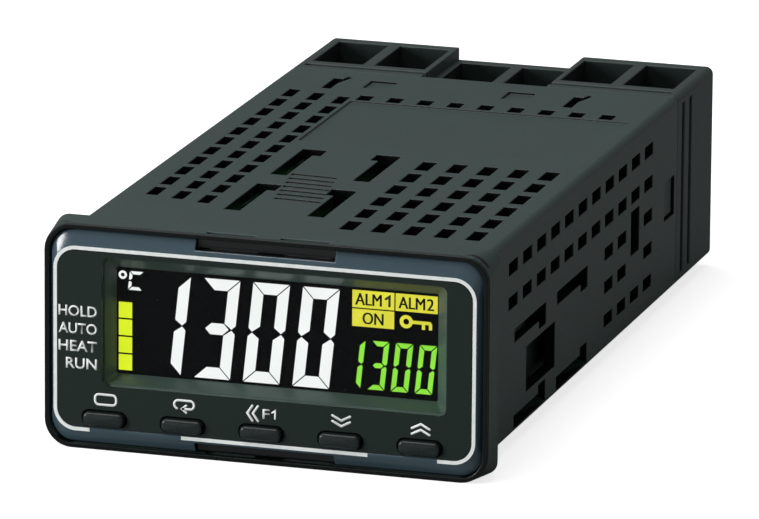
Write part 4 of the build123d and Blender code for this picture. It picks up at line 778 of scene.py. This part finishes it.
print("terminal figures:", len(numbers))

# %% [markdown]
# The unit draws out of the sleeve, so the outer sides of its boards can be seen. The leads of the
# parts inside end there in solder: a concave fillet that climbs from the pad to the trimmed lead.
# The profile is turned round the lead, and all the joints of a board are one mesh.

# %% Solder joints
JOINT_RADIUS, LEAD_RADIUS = 0.85, 0.30
FILLET_RISE, LEAD_RISE = 0.50, 0.30
LEAD_SHOULDER, LEAD_TIP = 0.8, 0.6
FILLET_STEPS, JOINT_POINTS = 7, 20
JOINT_INSET = 1.6
JOINTS_UNDER = {"output_relay": (2, 3), "transformer_core": (2, 4), "suppression_capacitor": (1, 2),
                "surge_resistor": (2, 1), "filter_choke": (2, 1), "smoothing_capacitors": (4, 1)}
JOINTS_OVER = {"crystal_can": (1, 2)}


def solder_joint(x, y, z, up):
    """Turned body: the fillet rises as H((R - r) / (R - a))^2 from the pad's edge R to the lead's edge a."""
    radius = np.linspace(JOINT_RADIUS, LEAD_RADIUS, FILLET_STEPS)
    height = FILLET_RISE * ((JOINT_RADIUS - radius) / (JOINT_RADIUS - LEAD_RADIUS)) ** 2
    radius = np.concatenate([radius, [LEAD_RADIUS, LEAD_RADIUS * LEAD_TIP]])
    height = np.concatenate([height, [FILLET_RISE + LEAD_RISE * LEAD_SHOULDER, FILLET_RISE + LEAD_RISE]])
    angle = np.arange(JOINT_POINTS) * 2 * np.pi / JOINT_POINTS
    rings = np.stack([x + np.outer(radius, np.cos(angle)), y + np.outer(radius, np.sin(angle)),
                      z + up * np.repeat(height[:, None], JOINT_POINTS, axis=1)], axis=-1)
    first = list(range(JOINT_POINTS))
    last = [(len(radius) - 1) * JOINT_POINTS + k for k in first]
    return rings.reshape(-1, 3), ring_quads(len(radius), JOINT_POINTS) + [first, last]


def row_of(low, high, count):
    """Places spread evenly between two ends, or the middle for a single one."""
    return np.linspace(low + JOINT_INSET, high - JOINT_INSET, count) if count > 1 else [(low + high) / 2]


def joints(grids, z, up):
    """A solder joint for each lead of the parts in grids."""
    made = []
    for part_name, (across, along) in grids.items():
        low, high = (np.array(corner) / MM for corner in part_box(part_name))
        made += [solder_joint(x, y, z, up) for x in row_of(low[0], high[0], across)
                 for y in row_of(low[1], high[1], along)]
    return made


POWER_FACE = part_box("power_board")[0][2] / MM
CONTROL_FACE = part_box("control_board")[1][2] / MM
for joint_name, grids, z, up in (("power_joints", JOINTS_UNDER, POWER_FACE, -1),
                                 ("control_joints", JOINTS_OVER, CONTROL_FACE, 1)):
    add_mesh(joint_name, *joined(joints(grids, z, up)), tinned_copper, "front_unit", "switch_metal")
print("board faces at z in mm:", round(POWER_FACE, 2), round(CONTROL_FACE, 2))

# %% [markdown]
# The outer side of the control board also carries chip resistors and chip capacitors: a ceramic
# body of 1.6 by 0.8 mm with a tinned cap at each end. They stand in a loose grid with some places
# left empty, as on a board that serves several versions.

# %% Chip resistors
CHIP_COLUMNS = (-13.5, -9.0, -2.5, 2.5, 9.5, 13.5)
CHIP_ROWS = (11.0, 16.5, 24.0, 30.0, 38.5, 44.0, 51.5, 57.0)
CHIP_HALF, CHIP_CAP_LENGTH, CHIP_CORNER = 0.8, 0.32, 0.06
CHIP_BODY = (0.76, 0.42)
CHIP_CAP = (0.82, 0.50)


def chip_block(x, start, end, width, rise):
    """A block of a chip part that stands on the control board, from start to end along it."""
    return sectioned_body([(y, width, rise, CHIP_CORNER, x, CONTROL_FACE + rise / 2) for y in (start, end)])


bodies, caps = [], []
for i, x in enumerate(CHIP_COLUMNS):
    for j, y in enumerate(CHIP_ROWS):
        if (5 * i + 3 * j) % 4 == 0:
            continue
        inner = CHIP_HALF - CHIP_CAP_LENGTH
        bodies.append(chip_block(x, y - inner, y + inner, *CHIP_BODY))
        for start in (y - CHIP_HALF, y + inner):
            caps.append(chip_block(x, start, start + CHIP_CAP_LENGTH, *CHIP_CAP))
ceramic = moulded_plastic("chip_part_ceramic", "#3a3531", 0.40, 0.12, 0.4, 0.15, 1.7)
add_mesh("chip_part_bodies", *joined(bodies), ceramic, "front_unit", "chip_black")
add_mesh("chip_part_caps", *joined(caps), tinned_copper, "front_unit", "switch_metal")
print("chip parts:", len(bodies))

# %% [markdown]
# The camera stands where the photograph was taken from: about a metre away on a long lens, a
# little to the right of the front and above it, so the lines of the case hardly converge.

# %% Camera
AZIMUTH = math.radians(17.0)
ELEVATION = math.radians(14.6)
CAMERA_ROLL = math.radians(0.45)
LENS_PIXELS = 8926.0
PHOTO_WIDTH = 759
SENSOR = 36.0
TARGET = np.array([0.0, 45.0, 0.0]) * MM
OFFSET = np.array([2.6, 2.1, 965.2]) * MM

back = np.array([math.sin(AZIMUTH) * math.cos(ELEVATION), -math.cos(AZIMUTH) * math.cos(ELEVATION),
                 math.sin(ELEVATION)])
right = np.array([math.cos(AZIMUTH), math.sin(AZIMUTH), 0.0])
up = np.cross(back, right)
side = math.cos(CAMERA_ROLL) * right + math.sin(CAMERA_ROLL) * up
above = -math.sin(CAMERA_ROLL) * right + math.cos(CAMERA_ROLL) * up
axes = np.stack([side, above, back], axis=1)
spot = TARGET + axes @ (OFFSET * np.array([-1, -1, 1]))
view = np.eye(4)
view[:3, :3] = axes
view[:3, 3] = spot
camera_data = bpy.data.cameras.new("camera")
camera_data.sensor_width = SENSOR
camera_data.lens = LENS_PIXELS * SENSOR / PHOTO_WIDTH
camera_data.clip_start = 0.05
camera_data.clip_end = 50.0
camera = bpy.data.objects.new("camera", camera_data)
bpy.context.scene.collection.objects.link(camera)
camera.matrix_world = Matrix(view.tolist())
bpy.context.scene.camera = camera
print("lens in mm:", round(camera_data.lens, 1))

# %% [markdown]
# The controller lies on white paper that seems to have no end. The camera sees the paper glow, so
# it stays near white; every other ray sees plain pale paper, which sends a calm grey light back up
# to the underside.

# %% Paper floor
floor_mesh = bpy.data.meshes.new("floor")
FLOOR_HALF = 3.0
FLOOR_GLOW = 0.75
FLOOR_Z = CAD_LOW.z - 0.02 * MM
corners = [(-FLOOR_HALF, -FLOOR_HALF, FLOOR_Z), (FLOOR_HALF, -FLOOR_HALF, FLOOR_Z),
           (FLOOR_HALF, FLOOR_HALF, FLOOR_Z), (-FLOOR_HALF, FLOOR_HALF, FLOOR_Z)]
floor_mesh.from_pydata(corners, [], [(0, 1, 2, 3)])
floor = bpy.data.objects.new("floor", floor_mesh)
bpy.context.scene.collection.objects.link(floor)
floor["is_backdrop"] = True
floor_material, tree, place = start_material("floor_paper")
path = add(tree, "ShaderNodeLightPath")
bounce = add(tree, "ShaderNodeBsdfDiffuse", {"Color": linear("#9a9d9d")})
shade = add(tree, "ShaderNodeBsdfDiffuse", {"Color": linear("#d8d8d8")})
glow = add(tree, "ShaderNodeEmission", {"Color": (1, 1, 1, 1), "Strength": FLOOR_GLOW})
seen = add(tree, "ShaderNodeAddShader", {0: shade.outputs[0], 1: glow.outputs[0]})
mix = add(tree, "ShaderNodeMixShader", {"Fac": path.outputs["Is Camera Ray"], 1: bounce.outputs[0],
                                        2: seen.outputs[0]})
close_material(tree, mix)
floor_mesh.materials.append(floor_material)
print("floor at z in mm:", round(FLOOR_Z / MM, 2))

# %% [markdown]
# The background is white to the camera and dim to everything else. A large soft lamp overhead
# lights the top, a smaller one from the left lights the front, and a narrow strip above the front
# draws the thin bright line along the upper bevel and the tops of the keys.

# %% Background and lamps
WORLD_LIGHT = 0.20
world = bpy.data.worlds.new("studio")
bpy.context.scene.world = world
world.use_nodes = True
tree = world.node_tree
tree.nodes.clear()
path = add(tree, "ShaderNodeLightPath")
soft = add(tree, "ShaderNodeBackground", {"Color": (1, 1, 1, 1), "Strength": WORLD_LIGHT})
white = add(tree, "ShaderNodeBackground", {"Color": (1, 1, 1, 1), "Strength": 1.0})
direct = add(tree, "ShaderNodeMixShader", {"Fac": path.outputs["Is Camera Ray"], 1: soft.outputs[0],
                                           2: white.outputs[0]})
add(tree, "ShaderNodeOutputWorld", {"Surface": direct.outputs[0]})


def softbox(name, place, aim, size_x, size_y, power):
    """A rectangular soft lamp at a place, aimed at a point; power in watts."""
    lamp = bpy.data.lights.new(name, "AREA")
    lamp.shape = "RECTANGLE"
    lamp.size = size_x
    lamp.size_y = size_y
    lamp.energy = power
    holder = bpy.data.objects.new(name, lamp)
    bpy.context.scene.collection.objects.link(holder)
    holder.location = place
    holder.rotation_euler = (Vector(aim) - Vector(place)).to_track_quat("-Z", "Y").to_euler()
    return holder


softbox("overhead", (-0.15, 0.1, 0.7), (0, 0.04, 0), 0.6, 0.6, 2.3)
softbox("front_left", (-0.73, -0.57, 0.23), (0, 0.0, 0), 0.3, 0.4, 6.5)
softbox("strip_above", (-0.2, -0.35, 0.75), (0, 0.0, 0), 0.5, 0.12, 1.5)
bpy.context.scene.view_settings.view_transform = "Standard"
print("lamps:", len(bpy.data.lights))

# %% [markdown]
# Both boxes are printed: the box of the solids near the start, and the box of the finished model here.

# %% Sizes of the solids and of the finished model
low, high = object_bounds()
print("finished box in mm:", [round(v / MM, 2) for v in high - low])
